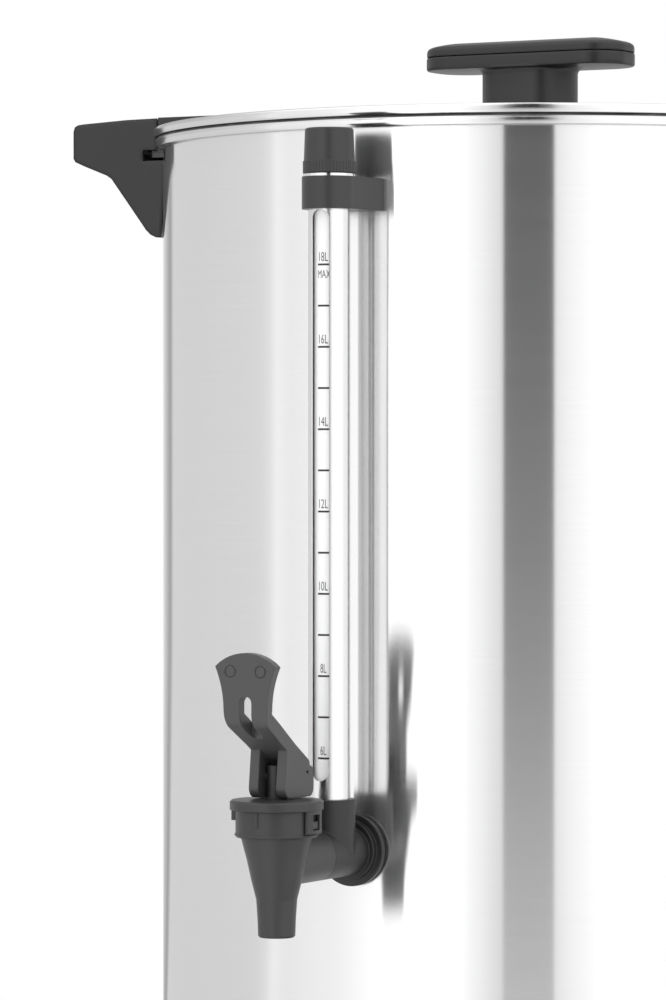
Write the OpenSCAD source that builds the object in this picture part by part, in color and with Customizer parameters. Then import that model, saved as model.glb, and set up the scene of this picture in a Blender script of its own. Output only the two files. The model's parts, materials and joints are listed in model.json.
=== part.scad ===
// Double-walled hot water urn with a sight gauge, a lever tap and a lift-off lid.
// The origin is on the urn's axis at the table, +Z is up, the tap faces -Y and the handles lie along X.

/* [Body] */
// Outside radius of the outer shell
shell_r = 152; // [130:1:180]
// Sheet thickness of the outer shell
shell_wall = 0.8; // [0.6:0.1:1.2]
// Air gap between the outer shell and the vessel
jacket_gap = 7.9; // [7:0.1:14]
// Sheet thickness of the vessel
vessel_wall = 0.8; // [0.6:0.1:1.2]
// Height of the rolled bead's top above the table
body_h = 436.6; // [400:0.1:480]
// Height of the vessel's floor above the table
floor_z = 96.7; // [92:0.1:108]
// Height of the shell's lower edge above the table
shell_bottom_z = 70; // [66:1:76]
// Height of the rolled bead
bead_h = 3.5; // [2.6:0.1:4.4]
// How far the rolled bead stands out from the shell
bead_out = 3; // [2.4:0.1:3.6]

/* [Lid] */
// Height of the lid's curled rim
lid_rim_h = 3.05; // [2.6:0.05:4]
// How far the lid's rim stands out from the shell
lid_rim_out = 3.9; // [3.7:0.1:5]
// Sheet thickness of the lid
lid_wall = 0.8; // [0.6:0.1:1.2]
// Width of the flat ring inside the lid's rim
lid_flat_w = 17; // [12:1:30]
// Rise of the lid's dome
dome_rise = 8; // [3:1:11]
// Depth of the locating ring under the lid
locator_h = 13; // [8:1:20]
// Length of the knob
knob_len = 88; // [70:1:110]
// Width of the knob
knob_w = 34.5; // [32:0.5:44]
// Corner radius of the knob
knob_corner_r = 15; // [8:0.5:15.5]
// Height of the knob's stem above the lid
knob_stem_h = 17.2; // [14:0.2:30]
// End radius of the knob's oval stem
knob_stem_r = 15; // [12:0.5:15.5]
// How far the lock tabs reach inward
tab_reach = 49; // [30:1:60]
// Height of the lock tabs above the lid's rim
tab_h = 6.5; // [5:0.1:8]

/* [Handles] */
// Length of each handle round the body
handle_len = 121; // [100:1:140]
// How far each handle stands out from the shell
handle_reach = 33; // [28:1:44]
// Height of each handle
handle_h = 49.9; // [44:0.1:64]
// Height of the handles' top above the bead
handle_top_h = 9.8; // [8:0.1:12]

/* [Gauge] */
// Distance of the gauge's axis from the shell
gauge_stand = 20.1; // [19:0.1:30]
// Outside radius of the steel shield tube
shield_r = 8; // [7.7:0.1:9]
// Outside radius of the clear tube
glass_r = 5.8; // [5:0.1:6]
// Distance of the gauge bracket's top below the bead's top
bracket_drop = 24.6; // [20:0.1:40]
// Height of the gauge bracket
bracket_h = 12.4; // [10:0.2:16]

/* [Tap] */
// Height of the tap's pipe above the table
tap_z = 153.7; // [146:0.1:180]
// Distance of the spout's axis from the shell
spout_reach = 60.8; // [58:0.1:80]
// Outside radius of the horizontal pipe
pipe_r = 9.65; // [9.2:0.05:10.5]
// Radius of the tap's bonnet
bonnet_r = 17.6; // [17.3:0.1:20]
// Radius of the spout's bore
outlet_r = 5.4; // [4:0.1:5.8]
// Length of the spout below the pipe's axis
spout_drop = 28.2; // [24:0.1:36]

/* [Base] */
// Height of the rubber feet
foot_h = 8; // [6:0.5:12]
// Radius of the rubber feet at the top
foot_r = 11; // [8:0.5:14]
// Distance of the feet's centres in from the shell
foot_inset = 34; // [30:1:60]
// Width of the control panel
panel_w = 132; // [116:1:150]
// Height of the control panel
panel_h = 52; // [46:1:56]
// How far the control panel stands out from the shell
panel_out = 11; // [8:0.5:18]
// Radius of the thermostat dial
dial_r = 19; // [14:0.5:21]

/* [Hidden] */
$fn = 240;
small_fn = 48;
hex_sides = 6;
arc_steps = 6;
bead_steps = 10;

// Overrun of every cut, clearance of fits on one body and clearances between moving pieces
overrun = 1;
fit_gap = 0.05;
run_gap = 0.08;
move_gap = 0.35;

// Body
vessel_r = shell_r - shell_wall - jacket_gap - vessel_wall;
vessel_out_r = vessel_r + vessel_wall;
shell_in_r = shell_r - shell_wall;
shell_top_z = body_h - vessel_wall;
bead_r = bead_h / 2;
bead_mid_r = shell_r + bead_out - bead_r;
bead_mid_z = body_h - bead_r;
bead_low_z = body_h - bead_h;
floor_corner_r = 9;

// Lid
lid_low_z = body_h + move_gap;
lid_top_z = lid_low_z + lid_rim_h;
lid_r = shell_r + lid_rim_out;
lid_rim_r = lid_rim_h / 2;
lid_curl_in = 4;
dome_r = lid_r - lid_flat_w;
dome_top_z = lid_top_z + dome_rise;
dome_steps = 10;
locator_gap = 1.3;
locator_r = vessel_r - locator_gap;
tab_edge_inset = 0.3;
tab_r = lid_r - tab_edge_inset;
tab_chamfer = 0.8;
rivet_r = 2;
rivet_head_r = 4;
rivet_head_h = 1.4;
rivet_deep = 3.2;
rivet_inset = 14;
rivet_side = 38;

// Knob
knob_base_h = 5.7;
knob_cap_side_h = 1.9;
knob_crown_h = 4.9;
knob_seam_inset = 0.4;
knob_stem_half = 5;
knob_flare_w = 2.6;
knob_flare_h = 5.6;
knob_foot_flare = 0.6;
knob_foot_flare_h = 1.8;
knob_plate_z = dome_top_z + knob_stem_h;
knob_seam_z = knob_plate_z + knob_base_h;
knob_cap_z = knob_seam_z + knob_cap_side_h;
knob_top_z = knob_cap_z + knob_crown_h;
knob_edge_w = 7;
knob_edge_drop = 0.8;
crown_steps = 8;
// Each point is a share of the flare's width and of its height, down from the plate
knob_flare_shares = [[0, 1], [0.2, 0.78], [0.62, 0.55], [0.92, 0.42], [1, 0]];
knob_screw_r = 2.5;
knob_screw_head_r = 4.6;
knob_screw_head_h = 3;
knob_screw_len = 16;
knob_washer_r = 11;
knob_washer_t = 1.5;

// Handles
handle_top_z = body_h + handle_top_h;
handle_out_x = shell_r + handle_reach;
handle_low_z = handle_top_z - handle_h;
handle_lean = 2.4;
handle_rim_r = lid_r + tab_edge_inset;
handle_rim_z = bead_low_z;
groove_h = 4.6;
groove_deep = 10.5;
groove_z = bead_low_z + fit_gap - groove_h;
tongue_h = 3.1;
tongue_deep = 7.2;
bracket_plate_t = 1.6;
bracket_plate_h = 30;
bracket_half = 57;
pocket_wall = 8;
pocket_lip = 5;
pocket_end = 6;
pocket_roof = 7.5;
handle_screw_r = 2.5;
handle_screw_angle = 13;
handle_screw_drop = 13;
handle_screw_deep = 5;
handle_screw_head_r = 4.2;
handle_screw_head_h = 2.6;
// Each point is a share of the reach, outward from the shell, and a share of the height, down from the top
handle_outline_shares = [
    [-0.6, 0], [0.2, 0.008], [0.85, 0.03], [0.93, 0.036], [0.98, 0.052], [1, 0.09],
    [1, 0.318], [0.97, 0.348], [0.85, 0.382], [0.5, 0.47], [0.43, 0.5], [-0.01, 0.874],
    [-0.08, 0.935], [-0.15, 0.977], [-0.23, 1], [-0.6, 1]
];

// Gauge
gauge_y = -shell_r - gauge_stand;
shield_wall = 0.8;
glass_wall = 1.2;
socket_r = 10;
socket_h = 20.9;
socket_z = tap_z + socket_h;
seal_deep = 8;
seal_gap = 0.05;
seal_step = 0.2;
seal_r = shield_r - shield_wall - seal_step;
bracket_top_z = body_h - bracket_drop;
bracket_z = bracket_top_z - bracket_h;
bracket_wall = 2.5;
bracket_r = shield_r + bracket_wall;
bracket_seat_h = 5.7;
bracket_foot_out = 2;
bracket_foot_t = 3;
spigot_r = 7.4;
spigot_h = 11.5;
glass_top_z = bracket_top_z + spigot_h;
glass_low_z = socket_z - seal_deep;
window_w = 7.7;
window_low = 7.1;
top_washer_r = 10;
top_washer_t = 1;
cap_z = bracket_top_z + top_washer_t + move_gap;
cap_ring_h = 4.5;
cap_ring_r = 10.1;
cap_r = 9.75;
cap_top_r = 9.3;
cap_h = 17.2;
cap_round_r = 0.9;
cap_roof = 3.6;
cap_knurls = 48;
cap_knurl_r = 0.2;
cap_bore_r = spigot_r + move_gap;
bracket_screw_r = 2;
bracket_screw_head_r = 3.6;
bracket_screw_head_h = 2.4;
bracket_screw_deep = 8;
vent_r = 0.6;

// Tap pipe
spout_y = -shell_r - spout_reach;
flange_washer_t = 1.2;
flange_washer_in = 1.4;
flange_t = 2.2;
flange_r = 14;
flange_step_r = 11.6;
flange_step_h = 2.6;
flange_back_y = -shell_r - flange_washer_t;
tail_r = 8.2;
tail_in = 14;
pipe_bore_r = 5;
joint_gap = 2.2;
joint_y = gauge_y - socket_r - joint_gap;
spigot_in = 8;
spigot_out_r = 7.2;
spacer_r = 12;
inner_washer_r = 13;
inner_washer_t = 2;
lock_nut_r = 14;
lock_nut_h = 6;
tap_hole_play = 0.3;
tap_hole_r = tail_r + tap_hole_play;

// Spout, chamber and collar heights are measured from the pipe's axis
chamber_r = 7.6;
chamber_drop = 5.5;
chamber_top_h = 19.7;
collar_h = 10.3;
collar_band_h = 1.3;
collar_r = 15.45;
collar_band_r = 15.8;
collar_chamfer = 0.7;
throat_r = 13.5;
tip_r = 7;
tip_round = 0.6;
// Each point is a radius as a share of the way from tip to throat, and a height as a share of the length
spout_outline_shares = [[0, 0], [0.03, 0.175], [0.108, 0.375], [0.4, 0.575], [0.646, 0.77], [1, 1]];
rib_count = 2;
rib_w = 1.5;
rib_out = 0.7;
rib_h = 5.9;
bonnet_plug_r = chamber_r - fit_gap;
bonnet_plug_h = 5;
bonnet_edge_h = 3.6;
bonnet_hub_h = 4;
bonnet_hub_r = 9;
clip_w = 10.5;
clip_h = 8.6;
clip_t = 1.3;
clip_in = 0.4;
clip_slot_w = 5;
clip_slot_h = 5.8;
clip_slot_drop = 1.4;
short_clip_w = 9;
short_clip_h = 4.4;
lug_play = 0.3;

// Valve and lever, with heights measured from the pipe's axis
stem_r = 3.8;
stem_hole_r = stem_r + run_gap;
stem_flange_r = 6.4;
stem_flange_h = 1.2;
cup_r = 7;
cup_h = 5;
cup_z = tap_z - chamber_drop + move_gap;
stem_low_z = cup_z + cup_h;
cup_socket_deep = 2.4;
cup_socket_r = 2.6;
pin_h = 32.3;
pin_z = tap_z + pin_h;
stem_over_pin = 4;
pin_r = 1.5;
pin_seat = 2.2;
spring_wire_r = 0.5;
spring_coil_r = 5.4;
spring_turns = 6;
spring_sides = 6;
spring_steps = 14;
cheek_t = 3.9;
cheek_gap = 7.8;
cheek_w = cheek_gap + 2 * cheek_t;
cheek_low = -8.2;
cheek_front = 7.4;
cheek_back = -14.4;
cheek_front_top = 9.8;
cheek_back_top = 3.6;
cheek_corner_r = 4;
cheek_back_r = 3.4;
cheek_back_deg = 120;
cheek_lean = 1.6;
arm_w = 15.6;
arm_t = 4.9;
arm_start_u = -9;
arm_start_v = 3.75;
arm_seat_share = 0.3;
bend_u = 18.5;
bend_v = 20.3;
bend_r = 6;
paddle_u = 23.6;
paddle_t = 3.9;
paddle_top = 46.8;
paddle_tip_v = 41.7;
paddle_waist_v = 25.6;
paddle_half = 12.85;
paddle_waist_half = 9.3;
arm_wide_v = 12;
paddle_side_steps = 8;
paddle_top_steps = 12;
knee_back_share = 0.7;
knee_low_share = 0.35;
knee_high_share = 0.3;
paddle_slot_w = 5.2;
paddle_slot_low = 14.5;
paddle_slot_high = 30.7;
paddle_slot_deep = 9.9;
mark_r = 2.4;
mark_ring_w = 0.5;
mark_deep = 0.4;
mark_x = 6.4;
mark_v = 39.9;

// Base
skirt_low_z = 6;
skirt_low_in = 5;
skirt_low_r = shell_r - skirt_low_in;
skirt_lip_h = 4;
skirt_lip_r = shell_r;
skirt_wall = 2.6;
skirt_collar_h = 8;
skirt_neck_in = 1.6;
skirt_neck_r = shell_r - skirt_neck_in;
plate_t = 1.2;
plate_z = foot_h;
plate_ledge_t = 2.4;
plate_ledge_w = 9;
plate_r = skirt_low_r - skirt_wall - fit_gap;
foot_count = 4;
foot_taper = 2;
foot_low_r = foot_r - foot_taper;
foot_pitch_r = shell_r - foot_inset;
foot_sink_r = 5;
foot_sink_h = 3.6;
foot_turn = 45;
foot_screw_r = 2;
foot_screw_head_r = 4;
foot_screw_head_h = 2.2;
foot_screw_up = 4;
vent_count = 10;
vent_w = 5;
vent_len = 26;
vent_inset = 64;
vent_pitch_r = shell_r - vent_inset;
element_plate_r = 88;
element_plate_t = 4;
element_low_z = floor_z - vessel_wall - element_plate_t;
element_r = 64;
element_tube_r = 4.2;
element_gap_deg = 40;
element_end_h = 26;
element_end_r = 4.8;
cutout_r = 9;
cutout_h = 9;
cutout_flange_r = 14;
cutout_flange_t = 1.2;
terminal_w = 46;
terminal_d = 18;
terminal_h = 16;
terminal_y = 60;
terminal_hole_r = 2.2;
terminal_holes = 4;

// Controls
panel_z = 12;
panel_mid_z = panel_z + panel_h / 2;
panel_face_y = -shell_r - panel_out;
panel_corner_r = 8;
panel_wall = 2.5;
panel_deep = 26;
panel_back_y = -skirt_low_r + panel_deep;
panel_edge = 1.2;
window_side = 12;
window_edge = 7;
window_half = panel_w / 2 - window_side;
window_h = panel_h - 2 * window_edge;
dial_h = 15;
dial_gap = 0.6;
dial_ridge_w = 6;
dial_ridge_h = 3.5;
dial_skirt_out = 1.8;
dial_skirt_r = dial_r + dial_skirt_out;
dial_skirt_h = 2.4;
dial_flutes = 18;
dial_flute_r = 1.1;
shaft_r = 3;
shaft_in = 12;
thermostat_w = 40;
thermostat_h = 30;
thermostat_d = 22;
bushing_r = 5;
panel_screw_in = 9;
panel_screw_x = panel_w / 2 - panel_screw_in;
panel_screw_r = 1.6;
panel_screw_head_r = 3;
panel_screw_head_h = 1.8;
panel_screw_len = 16;
panel_boss_r = 4.4;
lamp_x = -44;
lamp_pitch = 20;
lamp_r = 4;
lamp_bezel_r = 5.4;
lamp_bezel_h = 1.2;
lamp_len = 14;
switch_x = 44;
switch_w = 20;
switch_h = 30;
switch_bezel_t = 1.8;
switch_wall = 3;
switch_body_d = 17;
rocker_w = switch_w - 2 * switch_wall - 2 * move_gap;
rocker_r = 11;
rocker_pivot_in = 4.5;
rocker_face = 7.6;
rocker_back = 4;
rocker_rest_tilt = 8;
rocker_pin_r = 1.4;
rocker_pin_len = 1.2;
rocker_floor_gap = 1;
gland_z = 34;
gland_bore_r = 3.6;
gland_r = 7.5;
gland_flange_r = 10.5;
gland_flange_t = 2.5;
gland_out = 9;
gland_nut_r = 11;
gland_nut_h = 4;
gland_nut_play = 0.6;

steel = [0.8, 0.8, 0.82];
dark_steel = [0.55, 0.55, 0.57];
black_plastic = [0.2, 0.2, 0.21];
rubber_black = [0.1, 0.1, 0.1];
clear = [0.85, 0.9, 0.92, 0.5];
silicone = [0.9, 0.9, 0.88];
lamp_red = [0.8, 0.1, 0.1];
ceramic = [0.92, 0.9, 0.84];

// Points of a circular arc from one angle to another
function arc(cx, cy, r, from_deg, to_deg, steps = arc_steps) = [
    for (i = [0 : steps])
        let (a = from_deg + (to_deg - from_deg) * i / steps)
        [cx + r * cos(a), cy + r * sin(a)]
];

// Outside radius of the skirt's tapered wall at a height
function skirt_r(z) =
    skirt_low_r
    + (skirt_neck_r - skirt_low_r) * (z - skirt_low_z) / (shell_bottom_z - skirt_lip_h - skirt_low_z);

// Height of the lid's top surface at a radius from the axis
dome_sphere_r = (dome_r * dome_r + dome_rise * dome_rise) / (2 * dome_rise);
function dome_z(r) = dome_top_z - dome_sphere_r + sqrt(dome_sphere_r * dome_sphere_r - r * r);

// Tube standing on the XY plane
module tube(r_out, r_in, h, fn = small_fn) {
    difference() {
        cylinder(r = r_out, h = h, $fn = fn);
        translate([0, 0, -overrun])
            cylinder(r = r_in, h = h + 2 * overrun, $fn = fn);
    }
}

// Cylinder along +Y that starts at the given y
module rod_y(r, y, len, fn = small_fn) {
    translate([0, y, 0])
        rotate([-90, 0, 0])
            cylinder(r = r, h = len, $fn = fn);
}

// Rectangle with rounded corners, centred
module rounded_rect(w, h, r) {
    square([w - 2 * r, h], center = true);
    square([w, h - 2 * r], center = true);
    for (sx = [-1, 1])
        for (sy = [-1, 1])
            translate([sx * (w / 2 - r), sy * (h / 2 - r)])
                circle(r = r, $fn = small_fn);
}

// Straight slot along Y with round ends, cut through in Z
module slot(w, len, h) {
    translate([-w / 2, -(len - w) / 2, 0])
        cube([w, len - w, h]);
    for (s = [-1, 1])
        translate([0, s * (len - w) / 2, 0])
            cylinder(r = w / 2, h = h, $fn = small_fn);
}

// Repeats its children on both sides of the urn, at +X and, mirrored, at -X
module both_sides() {
    children();
    mirror([1, 0, 0])
        children();
}

// Body

module tap_hole(from_y, len) {
    translate([0, 0, tap_z])
        rod_y(tap_hole_r, from_y, len);
}

module handle_screw_axes() {
    both_sides()
        for (s = [-1, 1])
            rotate([0, 0, s * handle_screw_angle])
                translate([0, 0, body_h - handle_screw_drop])
                    rotate([0, 90, 0])
                        children();
}

module bracket_screw_axis() {
    translate([0, 0, bracket_z + bracket_h / 2])
        rotate([90, 0, 0])
            children();
}

module outer_shell() {
    color(steel)
        difference() {
            rotate_extrude()
                translate([shell_in_r, shell_bottom_z])
                    square([shell_wall, shell_top_z - shell_bottom_z]);
            tap_hole(-shell_r - overrun, shell_wall + jacket_gap);
            handle_screw_axes()
                cylinder(r = handle_screw_r + fit_gap, h = shell_r + overrun, $fn = small_fn);
            bracket_screw_axis()
                cylinder(r = bracket_screw_r + fit_gap, h = shell_r + overrun, $fn = small_fn);
        }
}

module vessel_profile() {
    corner_z = floor_z + floor_corner_r;
    corner_x = vessel_r - floor_corner_r;
    polygon(concat(
        [[0, floor_z]],
        arc(corner_x, corner_z, floor_corner_r, -90, 0),
        [[vessel_r, body_h]],
        arc(bead_mid_r, bead_mid_z, bead_r, 90, -90, bead_steps),
        [[shell_r, bead_low_z], [shell_r, bead_low_z + vessel_wall]],
        arc(bead_mid_r, bead_mid_z, bead_r - vessel_wall, -90, 90, bead_steps),
        [[vessel_out_r, shell_top_z]],
        arc(corner_x, corner_z, floor_corner_r + vessel_wall, 0, -90),
        [[0, floor_z - vessel_wall]]
    ));
}

module inner_vessel() {
    color(steel)
        difference() {
            rotate_extrude()
                vessel_profile();
            tap_hole(-vessel_out_r - overrun, vessel_wall + jacket_gap);
        }
}

// Handles

module ring_band(r_in, r_out, z, h, half) {
    intersection() {
        translate([0, 0, z])
            rotate_extrude()
                translate([r_in, 0])
                    square([r_out - r_in, h]);
        translate([0, -half, z])
            cube([r_out, 2 * half, h]);
    }
}

module handle_bracket_right() {
    difference() {
        union() {
            ring_band(shell_r, shell_r + bracket_plate_t, bead_low_z - bracket_plate_h,
                bracket_plate_h, bracket_half);
            ring_band(shell_r, shell_r + tongue_deep, bead_low_z - tongue_h, tongue_h, bracket_half);
        }
        for (s = [-1, 1])
            rotate([0, 0, s * handle_screw_angle])
                translate([0, 0, body_h - handle_screw_drop])
                    rotate([0, 90, 0])
                        cylinder(r = handle_screw_r + fit_gap, h = handle_out_x, $fn = small_fn);
    }
}

module handle_brackets() {
    color(dark_steel)
        both_sides()
            handle_bracket_right();
}

module handle_outline() {
    polygon([
        for (p = handle_outline_shares)
            [shell_r + p[0] * handle_reach, handle_top_z - p[1] * handle_h]
    ]);
}

module handle_block() {
    difference() {
        translate([0, handle_len / 2, 0])
            rotate([90, 0, 0])
                linear_extrude(height = handle_len)
                    handle_outline();
        translate([0, 0, handle_low_z - overrun])
            cylinder(r1 = shell_r + handle_lean, r2 = shell_r, h = handle_rim_z - handle_low_z + overrun);
        translate([0, 0, handle_rim_z - overrun])
            cylinder(r = shell_r, h = 2 * overrun);
        translate([0, 0, handle_rim_z])
            cylinder(r = handle_rim_r, h = handle_top_h + bead_h + overrun);
        ring_band(shell_r - overrun, shell_r + bracket_plate_t, bead_low_z - bracket_plate_h,
            bracket_plate_h, bracket_half + fit_gap);
        ring_band(shell_r - overrun, shell_r + groove_deep, groove_z, groove_h, handle_len);
        translate([shell_r + pocket_wall, -handle_len / 2 + pocket_end, handle_low_z - overrun])
            cube([
                handle_reach - pocket_wall - pocket_lip,
                handle_len - 2 * pocket_end,
                handle_h - pocket_roof + overrun
            ]);
        for (s = [-1, 1])
            rotate([0, 0, s * handle_screw_angle])
                translate([0, 0, body_h - handle_screw_drop])
                    rotate([0, 90, 0])
                        cylinder(
                            r = handle_screw_r + fit_gap,
                            h = shell_r + bracket_plate_t + handle_screw_deep + fit_gap,
                            $fn = small_fn
                        );
    }
}

module handle_right() {
    color(black_plastic)
        handle_block();
}

module handle_left() {
    color(black_plastic)
        mirror([1, 0, 0])
            handle_block();
}

module handle_screws() {
    shank_end = shell_r + bracket_plate_t + handle_screw_deep;
    color(dark_steel)
        handle_screw_axes() {
            translate([0, 0, shell_in_r - fit_gap])
                cylinder(r = handle_screw_r, h = shank_end - shell_in_r, $fn = small_fn);
            translate([0, 0, shell_in_r - fit_gap - handle_screw_head_h])
                cylinder(r = handle_screw_head_r, h = handle_screw_head_h, $fn = small_fn);
        }
}

// Lid

module lid_profile() {
    flat_low = lid_top_z - lid_wall;
    dome_top = [for (i = [1 : dome_steps]) let (r = dome_r * (1 - i / dome_steps)) [r, dome_z(r)]];
    dome_under = [
        for (i = [0 : dome_steps])
            let (r = dome_r * i / dome_steps)
            [r, dome_z(r) - lid_wall]
    ];
    polygon(concat(
        [[dome_r, lid_top_z]],
        dome_top,
        dome_under,
        [[lid_r - lid_rim_r, flat_low]],
        arc(lid_r - lid_rim_r, lid_low_z + lid_rim_r, lid_rim_r - lid_wall, 90, -90, bead_steps),
        [[lid_r - lid_rim_r - lid_curl_in, lid_low_z + lid_wall]],
        [[lid_r - lid_rim_r - lid_curl_in, lid_low_z]],
        arc(lid_r - lid_rim_r, lid_low_z + lid_rim_r, lid_rim_r, -90, 90, bead_steps)
    ));
}

module rivet_axes() {
    both_sides()
        for (s = [-1, 1])
            translate([tab_r - rivet_inset - tab_chamfer, s * rivet_side, lid_top_z])
                children();
}

module lid_pan() {
    color(steel)
        difference() {
            rotate_extrude()
                lid_profile();
            rivet_axes()
                translate([0, 0, -lid_wall - overrun])
                    cylinder(r = rivet_r + fit_gap, h = lid_wall + 2 * overrun, $fn = small_fn);
            translate([0, 0, dome_top_z - dome_rise])
                cylinder(r = knob_screw_r + fit_gap, h = dome_rise + overrun, $fn = small_fn);
        }
}

module lid_locating_ring() {
    color(steel)
        translate([0, 0, lid_top_z - lid_wall - locator_h])
            tube(locator_r, locator_r - lid_wall, locator_h, $fn);
}

// Everything under the lid's top surface, for seating what stands on it
module under_lid() {
    rotate_extrude()
        polygon(concat(
            [[0, lid_low_z - overrun]],
            [[lid_r + overrun, lid_low_z - overrun], [lid_r + overrun, lid_top_z]],
            [for (i = [0 : dome_steps]) let (r = dome_r * (1 - i / dome_steps)) [r, dome_z(r)]]
        ));
}

module lock_tab_right() {
    difference() {
        intersection() {
            translate([0, 0, lid_low_z])
                cylinder(r = tab_r, h = lid_rim_h + tab_h + overrun);
            union() {
                translate([tab_r - tab_reach, -handle_len / 2, lid_low_z])
                    cube([tab_reach, handle_len, lid_rim_h + tab_h - tab_chamfer]);
                translate([tab_r - tab_reach + tab_chamfer, -handle_len / 2, lid_low_z])
                    cube([tab_reach - 2 * tab_chamfer, handle_len, lid_rim_h + tab_h]);
            }
        }
        under_lid();
        for (s = [-1, 1])
            translate([tab_r - rivet_inset - tab_chamfer, s * rivet_side, lid_low_z - 2 * overrun])
                cylinder(
                    r = rivet_r + fit_gap,
                    h = lid_rim_h + rivet_deep + fit_gap + 2 * overrun,
                    $fn = small_fn
                );
    }
}

module lock_tabs() {
    color(black_plastic)
        both_sides()
            lock_tab_right();
}

module tab_rivets() {
    color(dark_steel)
        rivet_axes() {
            translate([0, 0, -lid_wall - fit_gap])
                cylinder(r = rivet_r, h = rivet_deep + lid_wall + fit_gap, $fn = small_fn);
            translate([0, 0, -lid_wall - rivet_head_h])
                cylinder(r = rivet_head_r, h = rivet_head_h, $fn = small_fn);
        }
}

// Knob

// Revolves a profile round the two ends of the oval stem and runs it straight between them
module oval(half) {
    for (s = [-1, 1])
        translate([s * half, 0, 0])
            rotate_extrude($fn = $fn)
                children();
    translate([-half, 0, 0])
        rotate([90, 0, 90])
            linear_extrude(height = 2 * half) {
                children();
                mirror([1, 0])
                    children();
            }
}

module knob_stem_profile() {
    polygon(concat(
        [[0, dome_top_z]],
        [[knob_stem_r + knob_foot_flare, dome_top_z], [knob_stem_r, dome_top_z + knob_foot_flare_h]],
        [
            for (p = knob_flare_shares)
                [knob_stem_r + p[0] * knob_flare_w, knob_plate_z - p[1] * knob_flare_h]
        ],
        [[0, knob_plate_z]]
    ));
}

// Low crown over a rounded edge, as seen along the knob or across it
module knob_crown_profile(half) {
    edge_h = knob_crown_h - knob_edge_drop;
    edge = [
        for (i = [0 : crown_steps])
            let (a = 90 * i / crown_steps)
            [half - knob_edge_w + knob_edge_w * cos(a), knob_cap_z + edge_h * sin(a)]
    ];
    polygon(concat(
        [[half, knob_seam_z]],
        edge,
        [[0, knob_top_z]],
        [for (i = [crown_steps : -1 : 0]) [-edge[i][0], edge[i][1]]],
        [[-half, knob_seam_z]]
    ));
}

module knob_outline_solid(w_inset, z, h) {
    translate([0, 0, z])
        linear_extrude(height = h)
            rounded_rect(knob_len - 2 * w_inset, knob_w - 2 * w_inset, knob_corner_r - w_inset);
}

module knob_base() {
    color(black_plastic)
        difference() {
            union() {
                intersection() {
                    oval(knob_stem_half)
                        knob_stem_profile();
                    knob_outline_solid(0, dome_top_z - dome_rise, knob_stem_h + dome_rise + overrun);
                }
                knob_outline_solid(knob_seam_inset, knob_plate_z, knob_base_h);
                knob_outline_solid(0, knob_plate_z + knob_seam_inset, knob_base_h - 2 * knob_seam_inset);
            }
            under_lid();
            translate([0, 0, dome_top_z - dome_rise])
                cylinder(
                    r = knob_screw_r + fit_gap,
                    h = dome_rise + knob_screw_len + fit_gap,
                    $fn = small_fn
                );
        }
}

module knob_cap() {
    color(black_plastic)
        union() {
            knob_outline_solid(knob_seam_inset, knob_seam_z, knob_seam_inset);
            intersection() {
                knob_outline_solid(0, knob_seam_z + knob_seam_inset,
                    knob_cap_side_h + knob_crown_h - knob_seam_inset);
                translate([0, knob_w, 0])
                    rotate([90, 0, 0])
                        linear_extrude(height = 2 * knob_w)
                            knob_crown_profile(knob_len / 2);
                translate([-knob_len, 0, 0])
                    rotate([90, 0, 90])
                        linear_extrude(height = 2 * knob_len)
                            knob_crown_profile(knob_w / 2);
            }
        }
}

module knob_screw() {
    color(dark_steel)
        translate([0, 0, dome_top_z - lid_wall - knob_washer_t]) {
            cylinder(
                r = knob_screw_r,
                h = knob_screw_len + lid_wall + knob_washer_t - fit_gap,
                $fn = small_fn
            );
            translate([0, 0, -knob_screw_head_h])
                cylinder(r = knob_screw_head_r, h = knob_screw_head_h, $fn = small_fn);
        }
}

module knob_washer() {
    color(rubber_black)
        difference() {
            translate([0, 0, dome_top_z - lid_wall - knob_washer_t])
                tube(knob_washer_r, knob_screw_r + fit_gap, knob_washer_t);
            lid_pan();
        }
}

// Gauge

module at_gauge() {
    translate([0, gauge_y, 0])
        children();
}

module gauge_shield() {
    window_z = socket_z + window_low;
    window_h = bracket_z - window_z;
    color(steel)
        at_gauge()
            difference() {
                translate([0, 0, socket_z])
                    tube(shield_r, shield_r - shield_wall, bracket_z + bracket_seat_h - socket_z, $fn);
                translate([0, 0, window_z + window_h / 2])
                    rotate([90, 0, 0])
                        slot(window_w, window_h, shield_r + overrun);
            }
}

module gauge_glass() {
    color(clear)
        at_gauge()
            translate([0, 0, glass_low_z])
                tube(glass_r, glass_r - glass_wall, glass_top_z - glass_low_z, $fn);
}

module gauge_seal() {
    color(silicone)
        at_gauge()
            translate([0, 0, glass_low_z])
                tube(seal_r - seal_gap, glass_r + seal_gap, seal_deep);
}

// Arm of the bracket from above, wider where it meets the shell
module bracket_arm_outline() {
    foot_half = bracket_r + bracket_foot_out;
    polygon([
        [-bracket_r, gauge_y],
        [bracket_r, gauge_y],
        [foot_half, -shell_r - bracket_foot_t],
        [foot_half, -shell_r + bracket_r],
        [-foot_half, -shell_r + bracket_r],
        [-foot_half, -shell_r - bracket_foot_t]
    ]);
}

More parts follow.
